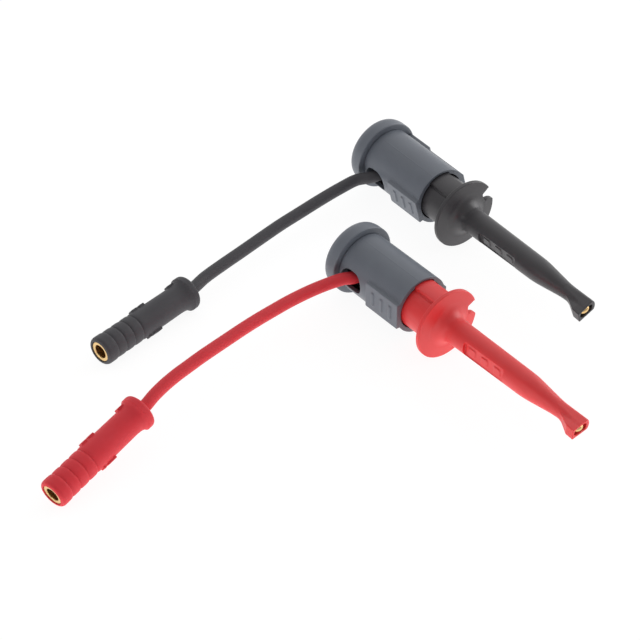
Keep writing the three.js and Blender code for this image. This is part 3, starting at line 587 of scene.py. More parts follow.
for colour in COLOURS:
    shape = surface_mesh(
        f"{colour}_barrel", barrel_rule, BARREL_LINES, BARREL_RINGS, BARREL_SIDES, PARTING_LINES
    )
    finish_piece(shape, f"{colour}_barrel", CLIPS[colour], ABS_GREY, f"{colour}_handle_barrel")

# %% [markdown]
# ## Nose tube
# The coloured tube is one moulding: a guide with a key that slides in the handle, a thin finger
# flange with a notch in its far edge, a tapering shank with a sunk panel, and a foot that flares
# out to one side round the hook's mouth.  It could be turned and then cut, but the foot grows out
# of the cone without an edge, and a rule makes that blend.  Long cones and small details lie on
# one part, so the grid's steps along x are short only where the details are.

# %% Nose tube: sizes
TRAVEL = 8.5
GUIDE_REAR = SEAT_REAR + 2.0 + TRAVEL + 0.4
FLANGE_REAR, FLANGE_FRONT = 9.7, 10.95
FLANGE_EDGE = 0.3
FLANGE_DISH = 0.45
HUB_FILLET = 3.4
SHANK_REAR_RADIUS, SHANK_FRONT_RADIUS, NECK_RADIUS = 3.83, 3.58, 2.25
HUB_X = FLANGE_FRONT + FLANGE_DISH
TAPER_START = FLANGE_FRONT + 32.9
NECK_START = TAPER_START + 10.8
TIP = FLANGE_FRONT + 53.6
WIRE_RADIUS = 0.9
BEND_RADIUS = 1.35
BEND_X = TIP - 0.3 - WIRE_RADIUS - BEND_RADIUS
CAVITY_RADIUS = 4.4
CAVITY_FRONT = 8.5
CAVITY_FRONT_ROUND = 0.2
TIP_LEAN = 0.1037
FOOT_SIDE = TIP - 2.8
FOOT_ROOT = FOOT_SIDE - 4.7
FOOT_ROOT_REACH, FOOT_SIDE_REACH, FOOT_TIP_REACH = 1.85, 4.3, 4.5
FOOT_ROOT_HALF, FOOT_HALF = 1.1, 1.7
FOOT_FILLET = 0.6
PANEL = (FLANGE_FRONT + 10.2, FLANGE_FRONT + 25.6)
PANEL_FLOOR, PANEL_HALF = 2.7, 2.25
PANEL_BARS = [sum(PANEL) / 2 + i * 4.9 for i in (-1, 0, 1)]
PANEL_BAR_HALVES, PANEL_BAR_HEIGHT = (1.3, 1.2), 0.3
NOTCH_FLOOR = CAP_RADIUS - 3.5
NOTCH_LOW_EDGE = [
    (NOTCH_FLOOR + 0.875, 0.1), (CAP_RADIUS, -0.3), (CAP_RADIUS + 1, -4.1),
]
NOTCH_TOP, NOTCH_LEAN = 2.85, 0.194
MOUTH_HALF = 1.05
# A slanted face's rule is divided by about the length of (1, slope), to count in millimetres.
FOOT_STEEPNESS, NOTCH_STEEPNESS, TIP_STEEPNESS = 1.13, 1.02, 1.005
print("nose tube from", round(GUIDE_REAR, 1), "to", round(TIP, 2), "along the clip's axis")


# %% Nose tube: its forms
# In these rules the bare last number of each soft join or cut is that edge's fillet or round.
def flange_rule(x, radius):
    """Guide, flange and hub: all that is round behind the shank."""
    guide = np.maximum(soft_cut(radius - GUIDE_RADIUS, GUIDE_REAR - x, 0.4), x - FLANGE_FRONT + 0.3)
    rim = CAP_RADIUS - FLANGE_EDGE
    hub_radius = SHANK_REAR_RADIUS + HUB_FILLET
    front = FLANGE_FRONT + FLANGE_DISH * np.clip((rim - radius) / (rim - hub_radius), 0, 1)
    disc = soft_cut(np.maximum(x - front, FLANGE_REAR - x), radius - CAP_RADIUS, 0.2)
    hollow = HUB_FILLET - np.hypot(x - HUB_X - HUB_FILLET, radius - hub_radius)
    hub = np.maximum.reduce([hollow, x - HUB_X - HUB_FILLET, radius - hub_radius, FLANGE_REAR + 0.2 - x])
    return np.minimum(soft_join(guide, disc, 0.25), hub)


def shank_rule(x, radius):
    """Two cones and a neck, from the hub to the tip."""
    hub_end = HUB_X + HUB_FILLET
    slope = (SHANK_REAR_RADIUS - SHANK_FRONT_RADIUS) / (TAPER_START - hub_end)
    shank = radius - SHANK_REAR_RADIUS + slope * (x - hub_end)
    taper_slope = (SHANK_FRONT_RADIUS - NECK_RADIUS) / (NECK_START - TAPER_START)
    taper = radius - NECK_RADIUS + taper_slope * (x - NECK_START)
    cone = soft_cut(shank, taper, 0.25)
    return np.maximum(soft_join(cone, radius - NECK_RADIUS, 0.25), FLANGE_FRONT - x)


def foot_rule(x, y, z):
    """The wing: out to one side from a low root, then a short flat side."""
    flare = (x - FOOT_ROOT) / (FOOT_SIDE - FOOT_ROOT)
    growth = FOOT_SIDE_REACH - FOOT_ROOT_REACH
    last = (FOOT_TIP_REACH - FOOT_SIDE_REACH) * (x - FOOT_SIDE) / (TIP - FOOT_SIDE)
    reach = np.where(flare < 1, FOOT_ROOT_REACH + growth * flare, FOOT_SIDE_REACH + last)
    height = FOOT_ROOT_HALF + (FOOT_HALF - FOOT_ROOT_HALF) * np.clip(flare, 0, 1)
    side = (-y - reach) / np.where(flare < 1, FOOT_STEEPNESS, 1.0)
    return np.maximum.reduce([soft_cut(side, np.abs(z) - height, 0.28), FOOT_ROOT - x, y])


def notch_rule(x, y, z):
    """Cut in the flange's far edge: square inside, its lower corner flared."""
    edge_y, edge_z = np.array(bezier(*(np.array(p) for p in NOTCH_LOW_EDGE), 29)).T
    low = np.interp(y, edge_y, edge_z)
    steep = np.hypot(1, np.interp(y, edge_y, np.gradient(edge_z, edge_y)))
    top = NOTCH_TOP + NOTCH_LEAN * (y - NOTCH_FLOOR)
    sides = np.maximum((low - z) / steep, (z - top) / NOTCH_STEEPNESS)
    notch = soft_cut(sides, NOTCH_FLOOR - y, 0.5)
    return np.maximum.reduce([notch, FLANGE_REAR - 0.3 - x, x - HUB_X - 1])


def panel_rule(x, y, z):
    """The sunk panel in the shank's side, less its low bars."""
    sides = soft_cut(np.maximum(PANEL[0] - x, x - PANEL[1]), np.abs(z) - PANEL_HALF, 0.8)
    panel = soft_cut(sides, y + PANEL_FLOOR, 0.15)
    for middle in PANEL_BARS:
        half_x, half_z = PANEL_BAR_HALVES
        bar = soft_cut(np.abs(x - middle) - half_x, np.abs(z) - half_z, 0.6)
        bar = soft_cut(bar, -y - PANEL_FLOOR - PANEL_BAR_HEIGHT, 0.2)
        panel = soft_cut(panel, -bar, 0.25)
    return panel


def mouth_rule(x, y, z):
    """The stadium-shaped mouth that the hook draws back into."""
    straight = BEND_RADIUS + WIRE_RADIUS + FIT - MOUTH_HALF
    mouth = np.hypot(np.maximum(np.abs(y + BEND_RADIUS) - straight, 0), z) - MOUTH_HALF
    return np.maximum(mouth, BEND_X - 0.3 - x)


def nose_rule(x, y, z):
    """All of the nose tube."""
    radius = np.hypot(y, z)
    key = key_rule(y, z, KEY_WIDTH, KEY_TOP)
    key = np.maximum(soft_cut(key, GUIDE_REAR - x, 0.3), x - FLANGE_FRONT + 0.3)
    across = y * math.cos(KEY_ANGLE) - z * math.sin(KEY_ANGLE)
    root = np.hypot(np.abs(across) - KEY_WIDTH / 2 - 0.15, radius - GUIDE_RADIUS) - 0.22
    root = np.maximum.reduce([root, x - FLANGE_REAR, -z])
    body = soft_cut(soft_join(flange_rule(x, radius), key, 0.12), -root, 0.1)
    body = soft_join(body, shank_rule(x, radius), 0.15)
    body = soft_join(body, foot_rule(x, y, z), FOOT_FILLET)
    lean = (NECK_RADIUS - FOOT_HALF) / (TIP - NECK_START)
    flats = np.abs(z) - NECK_RADIUS + lean * (x - NECK_START) - 0.35 * np.maximum(NECK_START - x, 0)
    body = soft_cut(body, flats, 0.2)
    tip = (x - TIP + TIP_LEAN * (y + FOOT_TIP_REACH)) / TIP_STEEPNESS
    body = soft_cut(body, tip, 0.3)
    body = soft_cut(body, -panel_rule(x, y, z), 0.08)
    body = soft_cut(body, -mouth_rule(x, y, z), 0.25)
    body = soft_cut(body, -notch_rule(x, y, z), 0.2)
    body = np.maximum(body, WIRE_RADIUS + FIT - radius)
    cavity = np.maximum(radius - CAVITY_RADIUS, x - CAVITY_FRONT)
    return soft_cut(body, -cavity, CAVITY_FRONT_ROUND)


# %% Nose tube: mesh
NOSE_LINES = spaced(
    # rear edge, guide, flange, hub, shank, panel's ends and middle, shank and taper, foot
    -5.1, (-4.2, 0.15), (8.9, 0.8), (12.0, 0.14), (15.4, 0.3), (21.2, 0.6), (21.9, 0.12),
    (36.2, 0.3), (36.9, 0.12), (54.2, 0.8), (56.6, 0.3), (64.9, 0.14),
)
NOSE_RINGS = spaced(0.9, (10.9, 0.14))
NOSE_SIDES = 168

for colour in COLOURS:
    shape = surface_mesh(f"{colour}_nose", nose_rule, NOSE_LINES, NOSE_RINGS, NOSE_SIDES)
    print(colour, "nose", len(shape.polygons) * 2, "triangles")
    finish_piece(shape, f"{colour}_nose", CLIPS[colour], NYLON[colour], f"{colour}_nose_tube", 50)

# %% [markdown]
# ## Socket sleeve
# A soft sleeve moulded over the socket.  Four scalloped grooves give a grip behind the mouth, the
# waist is plain, and the rear flares out to a rim that keeps the fingers off the plug.  Small
# plain lugs stand on both sides.  Turning would make all but the lugs; the rule melts them in.

# %% Socket sleeve: sizes
SLEEVE_RADIUS = 4.15
COLLAR_RADIUS = 4.25
WAIST_RADIUS = 3.98
RIM_FRONT_RADIUS, RIM_RADIUS = 4.95, 5.1
RIM_STEP = 0.15
MOUTH_ROUND, SLEEVE_REAR_ROUND = 1.3, 1.0
FLARE_START = SLEEVE_LENGTH - 6.4
FLARE_END = SLEEVE_LENGTH - 2.3
GROOVES = [3.9 + 3.2 * i for i in range(4)]
GROOVE_REACH, GROOVE_DEPTH = 0.32, 0.36
CONTACT_RADIUS = 3.0
CONTACT_BODY_END = 22.0
CONTACT_END = 27.0
TAIL_RADIUS = 2.2
LUGS = [(15.2, 17.2, 1), (17.9, 19.8, 1), (15.2, 16.1, -1), (16.8, 20.0, -1), (29.0, 31.2, 1)]
LUG_HALF_WIDTH = 1.3
LUG_FACE = SLEEVE_RADIUS + 0.4
LUG_ROOT = 3.4
print("sleeve", SLEEVE_LENGTH, "long with", len(GROOVES), "grooves and", len(LUGS), "lugs")


# %% Socket sleeve
def sleeve_rule(x, y, z):
    """The outside from the mouth to the rim, the lugs, and the holes for contact and lead."""
    radius = np.hypot(y, z)
    stops = [0, GROOVES[0], GROOVES[0] + 0.3, GROOVES[-1], FLARE_START]
    plain = np.interp(
        x, stops, [COLLAR_RADIUS, COLLAR_RADIUS, SLEEVE_RADIUS, SLEEVE_RADIUS - 0.05, WAIST_RADIUS]
    )
    along = np.clip((x - FLARE_START) / (FLARE_END - FLARE_START), 0, 1)
    flare = (RIM_FRONT_RADIUS - WAIST_RADIUS) * (0.35 * along**2 + 0.65 * along**6)
    rim = (RIM_RADIUS - RIM_FRONT_RADIUS) * np.clip((x - FLARE_END) / RIM_STEP, 0, 1)
    body = radius - plain - flare - rim
    for groove in GROOVES:
        body = body + GROOVE_DEPTH * np.exp(-np.abs(x - groove) / GROOVE_REACH)
    for low, high, side in LUGS:
        ends = np.abs(x - (low + high) / 2) - (high - low) / 2
        lug = soft_cut(ends, np.abs(z) - LUG_HALF_WIDTH, 0.25)
        lug = soft_cut(lug, side * y - LUG_FACE, 0.25)
        body = soft_join(body, np.maximum(lug, LUG_ROOT - side * y), 0.08)
    body = soft_cut(body, -x, MOUTH_ROUND)
    body = soft_cut(body, x - SLEEVE_LENGTH, SLEEVE_REAR_ROUND)
    hole = np.maximum(radius - CONTACT_RADIUS - SNUG, x - CONTACT_BODY_END - 0.3)
    hole = np.minimum(hole, np.maximum(radius - TAIL_RADIUS - SNUG, x - CONTACT_END - 0.3))
    hole = np.minimum(hole, radius - LEAD_RADIUS - SNUG)
    return soft_cut(body, -hole, 0.2)


SLEEVE_LINES = spaced(-0.3, (20.3, 0.12), (27.9, 0.45), (34.7, 0.12))
SLEEVE_RINGS = spaced(1.6, (5.5, 0.13))
SLEEVE_SIDES = 160

for colour in COLOURS:
    name = f"{colour}_sleeve"
    shape = surface_mesh(name, sleeve_rule, SLEEVE_LINES, SLEEVE_RINGS, SLEEVE_SIDES)
    finish_piece(shape, name, SOCKETS[colour], SILICONE[colour], f"{colour}_socket_sleeve", 60)

# %% [markdown]
# ## Geometry Nodes for what is turned, wound or follows a line
# Lathe work, springs and wires all follow a line.  Each kind gets one tree: its sizes are named
# inputs, it sweeps or turns a section along the line, and it ends in a plain dressed mesh.  The
# helper below sets the inputs by their identifiers, evaluates once and keeps the mesh.


# %% Helpers for Geometry Nodes
def new_tree(name, **sizes):
    """A tree whose inputs are a line, these sizes (name to socket kind) and a material."""
    tree = bpy.data.node_groups.new(name, "GeometryNodeTree")
    kinds = {"Line": "Geometry", **sizes, "Material": "Material"}
    for size, kind in kinds.items():
        tree.interface.new_socket(name=size, in_out="INPUT", socket_type=f"NodeSocket{kind}")
    tree.interface.new_socket(name="Piece", in_out="OUTPUT", socket_type="NodeSocketGeometry")
    return tree, add(tree, "NodeGroupInput").outputs


def end_tree(tree, given, shape):
    """Make the shape real, dress it, and hand it out."""
    real = add(tree, "GeometryNodeRealizeInstances", {"Geometry": shape})
    dressed = add(
        tree, "GeometryNodeSetMaterial", {"Geometry": real.outputs[0], "Material": given["Material"]}
    )
    add(tree, "NodeGroupOutput", {"Piece": dressed.outputs[0]})


def grow(tree, name, points, material, closed=False, thickness=None, **sizes):
    """The tree's mesh round a line through the points, for these sizes."""
    line = bpy.data.curves.new(name, "CURVE")
    line.dimensions = "3D"
    spline = line.splines.new("POLY")
    spline.points.add(len(points) - 1)
    spline.points.foreach_set("co", np.column_stack([points, np.ones(len(points))]).ravel())
    if thickness is not None:
        spline.points.foreach_set("radius", thickness)
    spline.use_cyclic_u = closed
    holder = bpy.data.objects.new(name, line)
    bpy.context.scene.collection.objects.link(holder)
    modifier = holder.modifiers.new(tree.name, "NODES")
    modifier.node_group = tree
    values = {"Material": material, **sizes}
    for item in tree.interface.items_tree:
        if item.in_out == "INPUT" and item.name in values:
            modifier[item.identifier] = values[item.name]
    evaluated = holder.evaluated_get(bpy.context.evaluated_depsgraph_get())
    mesh = bpy.data.meshes.new_from_object(evaluated)
    holder.modifiers.remove(modifier)
    bpy.data.objects.remove(holder)
    bm = bmesh.new()
    bm.from_mesh(mesh)
    bmesh.ops.recalc_face_normals(bm, faces=bm.faces)
    bm.to_mesh(mesh)
    bm.free()
    print(name, len(mesh.vertices), "vertices")
    return mesh


# %% Tree for turned pieces
AXIS_RADIUS = 1e-4
POLE_GAP = 1e-3
TURNED, given = new_tree("turned_piece", Sides="Int")
axis = add(
    TURNED, "GeometryNodeCurvePrimitiveCircle", {"Resolution": given["Sides"]}, Radius=AXIS_RADIUS
)
turned = add(
    TURNED, "GeometryNodeCurveToMesh", {"Curve": axis.outputs["Curve"], "Profile Curve": given["Line"]}
)
laid = add(TURNED, "GeometryNodeTransform", {"Geometry": turned.outputs[0]})
laid.inputs["Rotation"].default_value = (0, -math.pi / 2, 0)
closed_poles = add(
    TURNED, "GeometryNodeMergeByDistance", {"Geometry": laid.outputs[0]}, Distance=POLE_GAP
)
end_tree(TURNED, given, closed_poles.outputs[0])


# %% Turned pieces
HOLD = 0.1  # an extra point this far from each round keeps the flat beside it flat


def turned_piece(name, outline, material, sides=96):
    """Turn an outline of (x, radius, corner round) about the x axis."""
    points = []
    for before, (x, r, rounding), after in zip(outline[-1:] + outline, outline, outline[1:] + outline[:1]):
        here = np.array([x, r], float)
        if not rounding:
            points.append(here)
            continue
        starts, holds = [], []
        for neighbour in (before, after):
            away = np.array(neighbour[:2]) - here
            length = np.linalg.norm(away)
            starts.append(here + away * rounding / length)
            holds.append(here + away * min(1, (rounding + HOLD) / length))
        points += [holds[0], *bezier(starts[0], here, starts[1], 4), holds[1]]
    section = [(r, x, 0) for x, r in points]
    return grow(TURNED, name, section, material, closed=True, Sides=sides)


def cut_away(mesh, tool):
    """The mesh less the tool's shape."""
    pair = [bpy.data.objects.new(m.name, m) for m in (mesh, tool)]
    for item in pair:
        bpy.context.scene.collection.objects.link(item)
    cut = pair[0].modifiers.new("cut", "BOOLEAN")
    cut.object, cut.operation, cut.solver = pair[1], "DIFFERENCE", "EXACT"
    evaluated = pair[0].evaluated_get(bpy.context.evaluated_depsgraph_get())
    result = bpy.data.meshes.new_from_object(evaluated)
    for item in pair:
        bpy.data.objects.remove(item)
    return result


def block(low, high):
    """A box between two corners, to cut with."""
    bm = bmesh.new()
    bmesh.ops.create_cube(bm, size=1)
    for vertex in bm.verts:
        vertex.co = [(a + b) / 2 + c * (b - a) for a, b, c in zip(low, high, vertex.co)]
    mesh = bpy.data.meshes.new("block")
    bm.to_mesh(mesh)
    bm.free()
    return mesh


# %% [markdown]
# ## Handle cap
# The thumb presses this flange.  Its rear edge is domed, its front edge barely rounded, and a
# ring in front of it plugs into the barrel.  Flange, ring and the inner boss for the anchor are
# one outline turned once, which keeps them one closed piece.  A Boolean then cuts the ring away
# where the lead passes.

# %% Handle cap
CAP_FRONT = -BARREL_LENGTH - 0.1
CAP_REAR = CAP_FRONT - 4.7
DOME_LENGTH, DOME_DROP = 2.6, 1.1
SPIGOT_FRONT = CAP_FRONT + 2.2
SPIGOT_BORE = SPIGOT_RADIUS - 1.7
BOSS_HOLE = ANCHOR_RADIUS + FIT
BOSS_RADIUS = BOSS_HOLE + 1.4
BOSS_FRONT = CAP_FRONT + 2.4
BOSS_FLOOR = CAP_REAR + 1.6
POCKET = CAP_FRONT - 1.6
CAP_SIDES = 144
dome = [
    (CAP_REAR + DOME_LENGTH * (1 - math.cos(t)), CAP_RADIUS - DOME_DROP * (1 - math.sin(t)), 0)
    for t in np.linspace(0, math.pi / 2, 14)
]
CAP_OUTLINE = [
    (CAP_REAR, 0, 0), (CAP_REAR, CAP_RADIUS - DOME_DROP - 0.3, 0), *dome,
    (CAP_FRONT, CAP_RADIUS, 0.35), (CAP_FRONT, SPIGOT_RADIUS, 0), (SPIGOT_FRONT, SPIGOT_RADIUS, 0.2),
    (SPIGOT_FRONT, SPIGOT_BORE, 0.2), (POCKET, SPIGOT_BORE, 0.2), (POCKET, BOSS_RADIUS, 0.2),
    (BOSS_FRONT, BOSS_RADIUS, 0.2), (BOSS_FRONT, BOSS_HOLE, 0.15), (BOSS_FLOOR, BOSS_HOLE, 0),
    (BOSS_FLOOR, 0, 0),
]
RELIEF = ((CAP_FRONT + 0.1, -8.75, -3.5), (SLOT_MIDDLE, -BOSS_RADIUS - FIT, 3.5))

for colour in COLOURS:
    shape = turned_piece(f"{colour}_cap", CAP_OUTLINE, ABS_GREY, CAP_SIDES)
    shape = cut_away(shape, block(*RELIEF))
    finish_piece(shape, f"{colour}_cap", CLIPS[colour], ABS_GREY, f"{colour}_handle_cap")

# %% [markdown]
# ## Contact, anchor, spring seat and washer
# The contact is turned and gold plated: a bored front that takes a 4 mm plug, its mouth
# chamfered, and a thinner tail drilled for the strands.  The anchor is plain brass with a collar,
# the washer is brass too, and the seat that carries the spring is grey plastic.  Stacked
# cylinders would leave inner walls; a closed outline, turned, leaves none.

# %% Outlines
PLUG_BORE, CONTACT_MOUTH, CONTACT_CHAMFER = 2.0, 0.3, 0.15
TAIL_DRILL, TAIL_DRILL_DEPTH = 1.0, 4.4
CONTACT_OUTLINE = [
    (19.3, 0, 0), (19.3, PLUG_BORE, 0), (CONTACT_MOUTH + CONTACT_CHAMFER, PLUG_BORE, 0.05),
    (CONTACT_MOUTH, PLUG_BORE + CONTACT_CHAMFER, 0.05), (CONTACT_MOUTH, CONTACT_RADIUS, 0.12),
    (CONTACT_BODY_END, CONTACT_RADIUS, 0.2), (CONTACT_BODY_END, TAIL_RADIUS, 0),
    (CONTACT_END, TAIL_RADIUS, 0.2), (CONTACT_END, TAIL_DRILL, 0),
    (CONTACT_END - TAIL_DRILL_DEPTH, TAIL_DRILL, 0), (CONTACT_END - TAIL_DRILL_DEPTH, 0, 0),
]
SEAT_FRONT = SEAT_REAR + 2.0
ANCHOR_TIP = SEAT_FRONT + 1.3
ANCHOR_DRILL = ANCHOR_TIP - 6.3
COLLAR = 4.2
ANCHOR_OUTLINE = [
    (BOSS_FLOOR + FIT, 0, 0), (BOSS_FLOOR + FIT, ANCHOR_RADIUS, 0.3),
    (SEAT_REAR - 1.1, ANCHOR_RADIUS, 0), (SEAT_REAR - 1.1, COLLAR, 0.15),
    (SEAT_REAR - 0.2, COLLAR, 0.15), (SEAT_REAR - 0.2, ANCHOR_RADIUS, 0),
    (ANCHOR_TIP, ANCHOR_RADIUS, 0.25), (ANCHOR_TIP, 1.0, 0.15), (ANCHOR_DRILL, 1.0, 0),
    (ANCHOR_DRILL, 0, 0),
]
CROSS_HOLE = [(0.85, 0, 0), (0.85, 1.0, 0), (4.0, 1.0, 0), (4.0, 0, 0)]
SEAT_OUTLINE = [
    (SEAT_REAR, BOSS_HOLE, 0.15), (SEAT_REAR, SPIGOT_RADIUS, 0.2),
    (SEAT_FRONT, SPIGOT_RADIUS, 0.2), (SEAT_FRONT, BOSS_HOLE, 0.15),
]
WASHER_FRONT = CAVITY_FRONT - FIT
WASHER_REAR = WASHER_FRONT - 0.4
WASHER_OUTLINE = [
    (WASHER_REAR, 1.15, 0.08), (WASHER_REAR, COLLAR, 0.12),
    (WASHER_FRONT, COLLAR, 0.12), (WASHER_FRONT, 1.15, 0.08),
]

# %% Turned pieces of each clip
for colour in COLOURS:
    shape = turned_piece(f"{colour}_contact", CONTACT_OUTLINE, GOLD_PLATE)
    finish_piece(shape, f"{colour}_contact", SOCKETS[colour], GOLD_PLATE, f"{colour}_socket_contact")
    shape = turned_piece(f"{colour}_anchor", ANCHOR_OUTLINE, BRASS, 64)
    drill = turned_piece("drill", CROSS_HOLE, BRASS, 32)
    drill.transform(Matrix.Translation((SLOT_MIDDLE, 0, 0)) @ Matrix.Rotation(-math.pi / 2, 4, "Z"))
    shape = cut_away(shape, drill)
    finish_piece(shape, f"{colour}_anchor", CLIPS[colour], BRASS, f"{colour}_wire_anchor")
    shape = turned_piece(f"{colour}_seat", SEAT_OUTLINE, ABS_GREY)
    finish_piece(shape, f"{colour}_seat", CLIPS[colour], ABS_GREY, f"{colour}_spring_seat")
    shape = turned_piece(f"{colour}_washer", WASHER_OUTLINE, BRASS, 64)
    finish_piece(shape, f"{colour}_washer", CLIPS[colour], BRASS, f"{colour}_nose_washer")

# %% [markdown]
# ## Hook wire and the lead's hidden ends
# The gilt wire runs the whole length of the clip and ends in the J that grips.  A curve with a
# bevel would have flat ends.  Here a round section is swept along the line, and where the wire is
# cut, the line gets a few more points that grow thinner, which rounds the end.  The lead's
# stretches inside the handle and the sleeve are swept by the same tree.

# %% Tree for swept pieces
SWEPT, given = new_tree("swept_wire", Radius="Float", Sides="Int")
section = add(
    SWEPT, "GeometryNodeCurvePrimitiveCircle", {"Resolution": given["Sides"], "Radius": given["Radius"]}
)
thick = add(SWEPT, "GeometryNodeInputRadius")
swept = add(
    SWEPT,
    "GeometryNodeCurveToMesh",
    {"Curve": given["Line"], "Profile Curve": section.outputs["Curve"], "Scale": thick.outputs[0]},
)
swept.inputs["Fill Caps"].default_value = True
end_tree(SWEPT, given, swept.outputs[0])


def rounded_ends(path, radius, depth):
    """The path with a rounded end at each end, and its share of full thickness at each point."""
    path = [np.array(p, float) for p in path]
    share = [1.0] * len(path)
    for end, nearby in ((0, 1), (-1, -2)):
        tip = path[end]
        back = (path[nearby] - tip) / np.linalg.norm(path[nearby] - tip)
        path[end] = tip + back * depth
        rounds = [
            (tip + back * depth * (1 - math.sin(t)), 1 - depth / radius * (1 - math.cos(t)))
            for t in np.linspace(0, math.pi / 2, 6)[1:]
        ]
        if end == 0:
            path = [p for p, s in reversed(rounds)] + path
            share = [s for p, s in reversed(rounds)] + share
        else:
            path += [p for p, s in rounds]
            share += [s for p, s in rounds]
    return path, np.array(share)


# %% Hook wire
WIRE_REAR = ANCHOR_DRILL + 0.1
WIRE_END_DEPTH = 0.3
WIRE_SIDES = 32
bend = [
    (BEND_X + BEND_RADIUS * math.sin(t), BEND_RADIUS * (math.cos(t) - 1), 0)
    for t in np.linspace(0, math.pi, 25)
]
WIRE_LINE = [(x, 0, 0) for x in np.linspace(WIRE_REAR, BEND_X - 1, 12)] + bend

for colour in COLOURS:
    path, share = rounded_ends(WIRE_LINE, WIRE_RADIUS, WIRE_END_DEPTH)
    shape = grow(
        SWEPT, f"{colour}_hook", path, GOLD_PLATE, thickness=share, Radius=WIRE_RADIUS, Sides=WIRE_SIDES
    )
    finish_piece(shape, f"{colour}_hook", CLIPS[colour], GOLD_PLATE, f"{colour}_hook_wire", 60)

# %% Hidden ends of the leads
handle_line = bezier(np.array(LEAD_INNER), np.array(LEAD_SQUARE), np.array(LEAD_EXIT), 16)
socket_line = [(x, 0, 0) for x in np.linspace(CONTACT_END + 0.6, SLEEVE_LENGTH, 6)]
for colour in COLOURS:
    for end, line, place in (("handle", handle_line, CLIPS), ("socket", socket_line, SOCKETS)):
        name = f"{colour}_{end}_insulation"
        shape = grow(SWEPT, name, line, SILICONE[colour], Radius=LEAD_RADIUS, Sides=WIRE_SIDES)
        finish_piece(shape, name, place[colour], SILICONE[colour], f"{colour}_lead_{end}_end")

# %% [markdown]
# ## Bared strands
# Under the insulation are fine copper strands, laid in a twist: six round one.  A real lead has
# dozens; seven are drawn, since the ends are hidden.  The tree winds one strand, sets six of them
# round the middle one, and turns each by a sixth, which is simpler than seven curves.

# %% Tree for twisted strands
STRANDS, given = new_tree("twisted_strands", Length="Float", Strand="Float", Twists="Float")
lay_radius = add(STRANDS, "ShaderNodeMath", {0: given["Strand"], 1: given["Strand"]}, operation="ADD")
wound = add(
    STRANDS,
    "GeometryNodeCurveSpiral",
    {
        "Rotations": given["Twists"], "Height": given["Length"],
        "Start Radius": lay_radius.outputs[0], "End Radius": lay_radius.outputs[0],
    },
    Resolution=24,
)
end_point = add(STRANDS, "ShaderNodeCombineXYZ", {"Z": given["Length"]})
middle = add(STRANDS, "GeometryNodeCurvePrimitiveLine", {"End": end_point.outputs[0]})
strand_section = add(STRANDS, "GeometryNodeCurvePrimitiveCircle", {"Radius": given["Strand"]}, Resolution=10)
strand_pair = [
    add(
        STRANDS,
        "GeometryNodeCurveToMesh",
        {"Curve": line.outputs[0], "Profile Curve": strand_section.outputs["Curve"]},
    )
    for line in (wound, middle)
]
for strand in strand_pair:
    strand.inputs["Fill Caps"].default_value = True
places = add(STRANDS, "GeometryNodePoints", Count=6)
number = add(STRANDS, "GeometryNodeInputIndex")
sixth = add(STRANDS, "ShaderNodeMath", {0: number.outputs[0]}, operation="MULTIPLY")
sixth.inputs[1].default_value = math.tau / 6
turn = add(STRANDS, "ShaderNodeCombineXYZ", {"Z": sixth.outputs[0]})
around = add(
    STRANDS,
    "GeometryNodeInstanceOnPoints",
    {"Points": places.outputs[0], "Instance": strand_pair[0].outputs[0], "Rotation": turn.outputs[0]},
)
bundle = add(STRANDS, "GeometryNodeJoinGeometry", {"Geometry": around.outputs[0]})
STRANDS.links.new(strand_pair[1].outputs[0], bundle.inputs[0])
end_tree(STRANDS, given, bundle.outputs[0])

# %% Bared strands
STRAND_RADIUS = 0.29
TWIST_LENGTH = 9
POINT = [(0, 0, 0), (1, 0, 0)]  # these trees make their own line; they only need one to start from
STRIPPED = {
    "handle": (CLIPS, (SLOT_MIDDLE, -ANCHOR_RADIUS + 1.65, 0), (SLOT_MIDDLE, -ANCHOR_RADIUS - 0.4, 0)),
    "socket": (SOCKETS, (CONTACT_END - 4.1, 0, 0), (CONTACT_END + 0.3, 0, 0)),
}
for colour in COLOURS:
    for end, (place, start, stop) in STRIPPED.items():
        run = Vector(stop) - Vector(start)
        name = f"{colour}_{end}_strands"
        twists = run.length / TWIST_LENGTH
        shape = grow(
            STRANDS, name, POINT, COPPER, Length=run.length, Strand=STRAND_RADIUS, Twists=twists
        )
        turn_to = run.to_track_quat("Z", "Y").to_matrix().to_4x4()
        shape.transform(Matrix.Translation(start) @ turn_to)
        finish_piece(shape, name, place[colour], COPPER, f"{colour}_lead_{end}_core", 60)

# %% [markdown]
# ## Return spring
# A compression spring of drawn steel wire.  Its end turns lie close together so that it stands
# square; the pitch opens towards the middle.  A Screw modifier would wind it evenly.  This tree
# starts from an even spiral and moves each point along it by a sine.

# %% Tree for the spring
END_CLOSING = 0.5  # share of the pitch that the end turns lose
SPRING, given = new_tree("return_spring", Turns="Float", Coil="Float", Wire="Float", Length="Float")
even = add(
    SPRING,
    "GeometryNodeCurveSpiral",
    {
        "Rotations": given["Turns"], "Height": given["Length"],
        "Start Radius": given["Coil"], "End Radius": given["Coil"],
    },
    Resolution=28,
)
share_along = add(SPRING, "GeometryNodeSplineParameter")
whole_turn = add(SPRING, "ShaderNodeMath", {0: share_along.outputs["Factor"]}, operation="MULTIPLY")
whole_turn.inputs[1].default_value = math.tau
wave = add(SPRING, "ShaderNodeMath", {0: whole_turn.outputs[0]}, operation="SINE")
swing = add(SPRING, "ShaderNodeMath", {0: wave.outputs[0], 1: given["Length"]}, operation="MULTIPLY")
closing = add(SPRING, "ShaderNodeMath", {0: swing.outputs[0]}, operation="MULTIPLY")
closing.inputs[1].default_value = -END_CLOSING / math.tau
move = add(SPRING, "ShaderNodeCombineXYZ", {"Z": closing.outputs[0]})
wound = add(SPRING, "GeometryNodeSetPosition", {"Geometry": even.outputs[0], "Offset": move.outputs[0]})
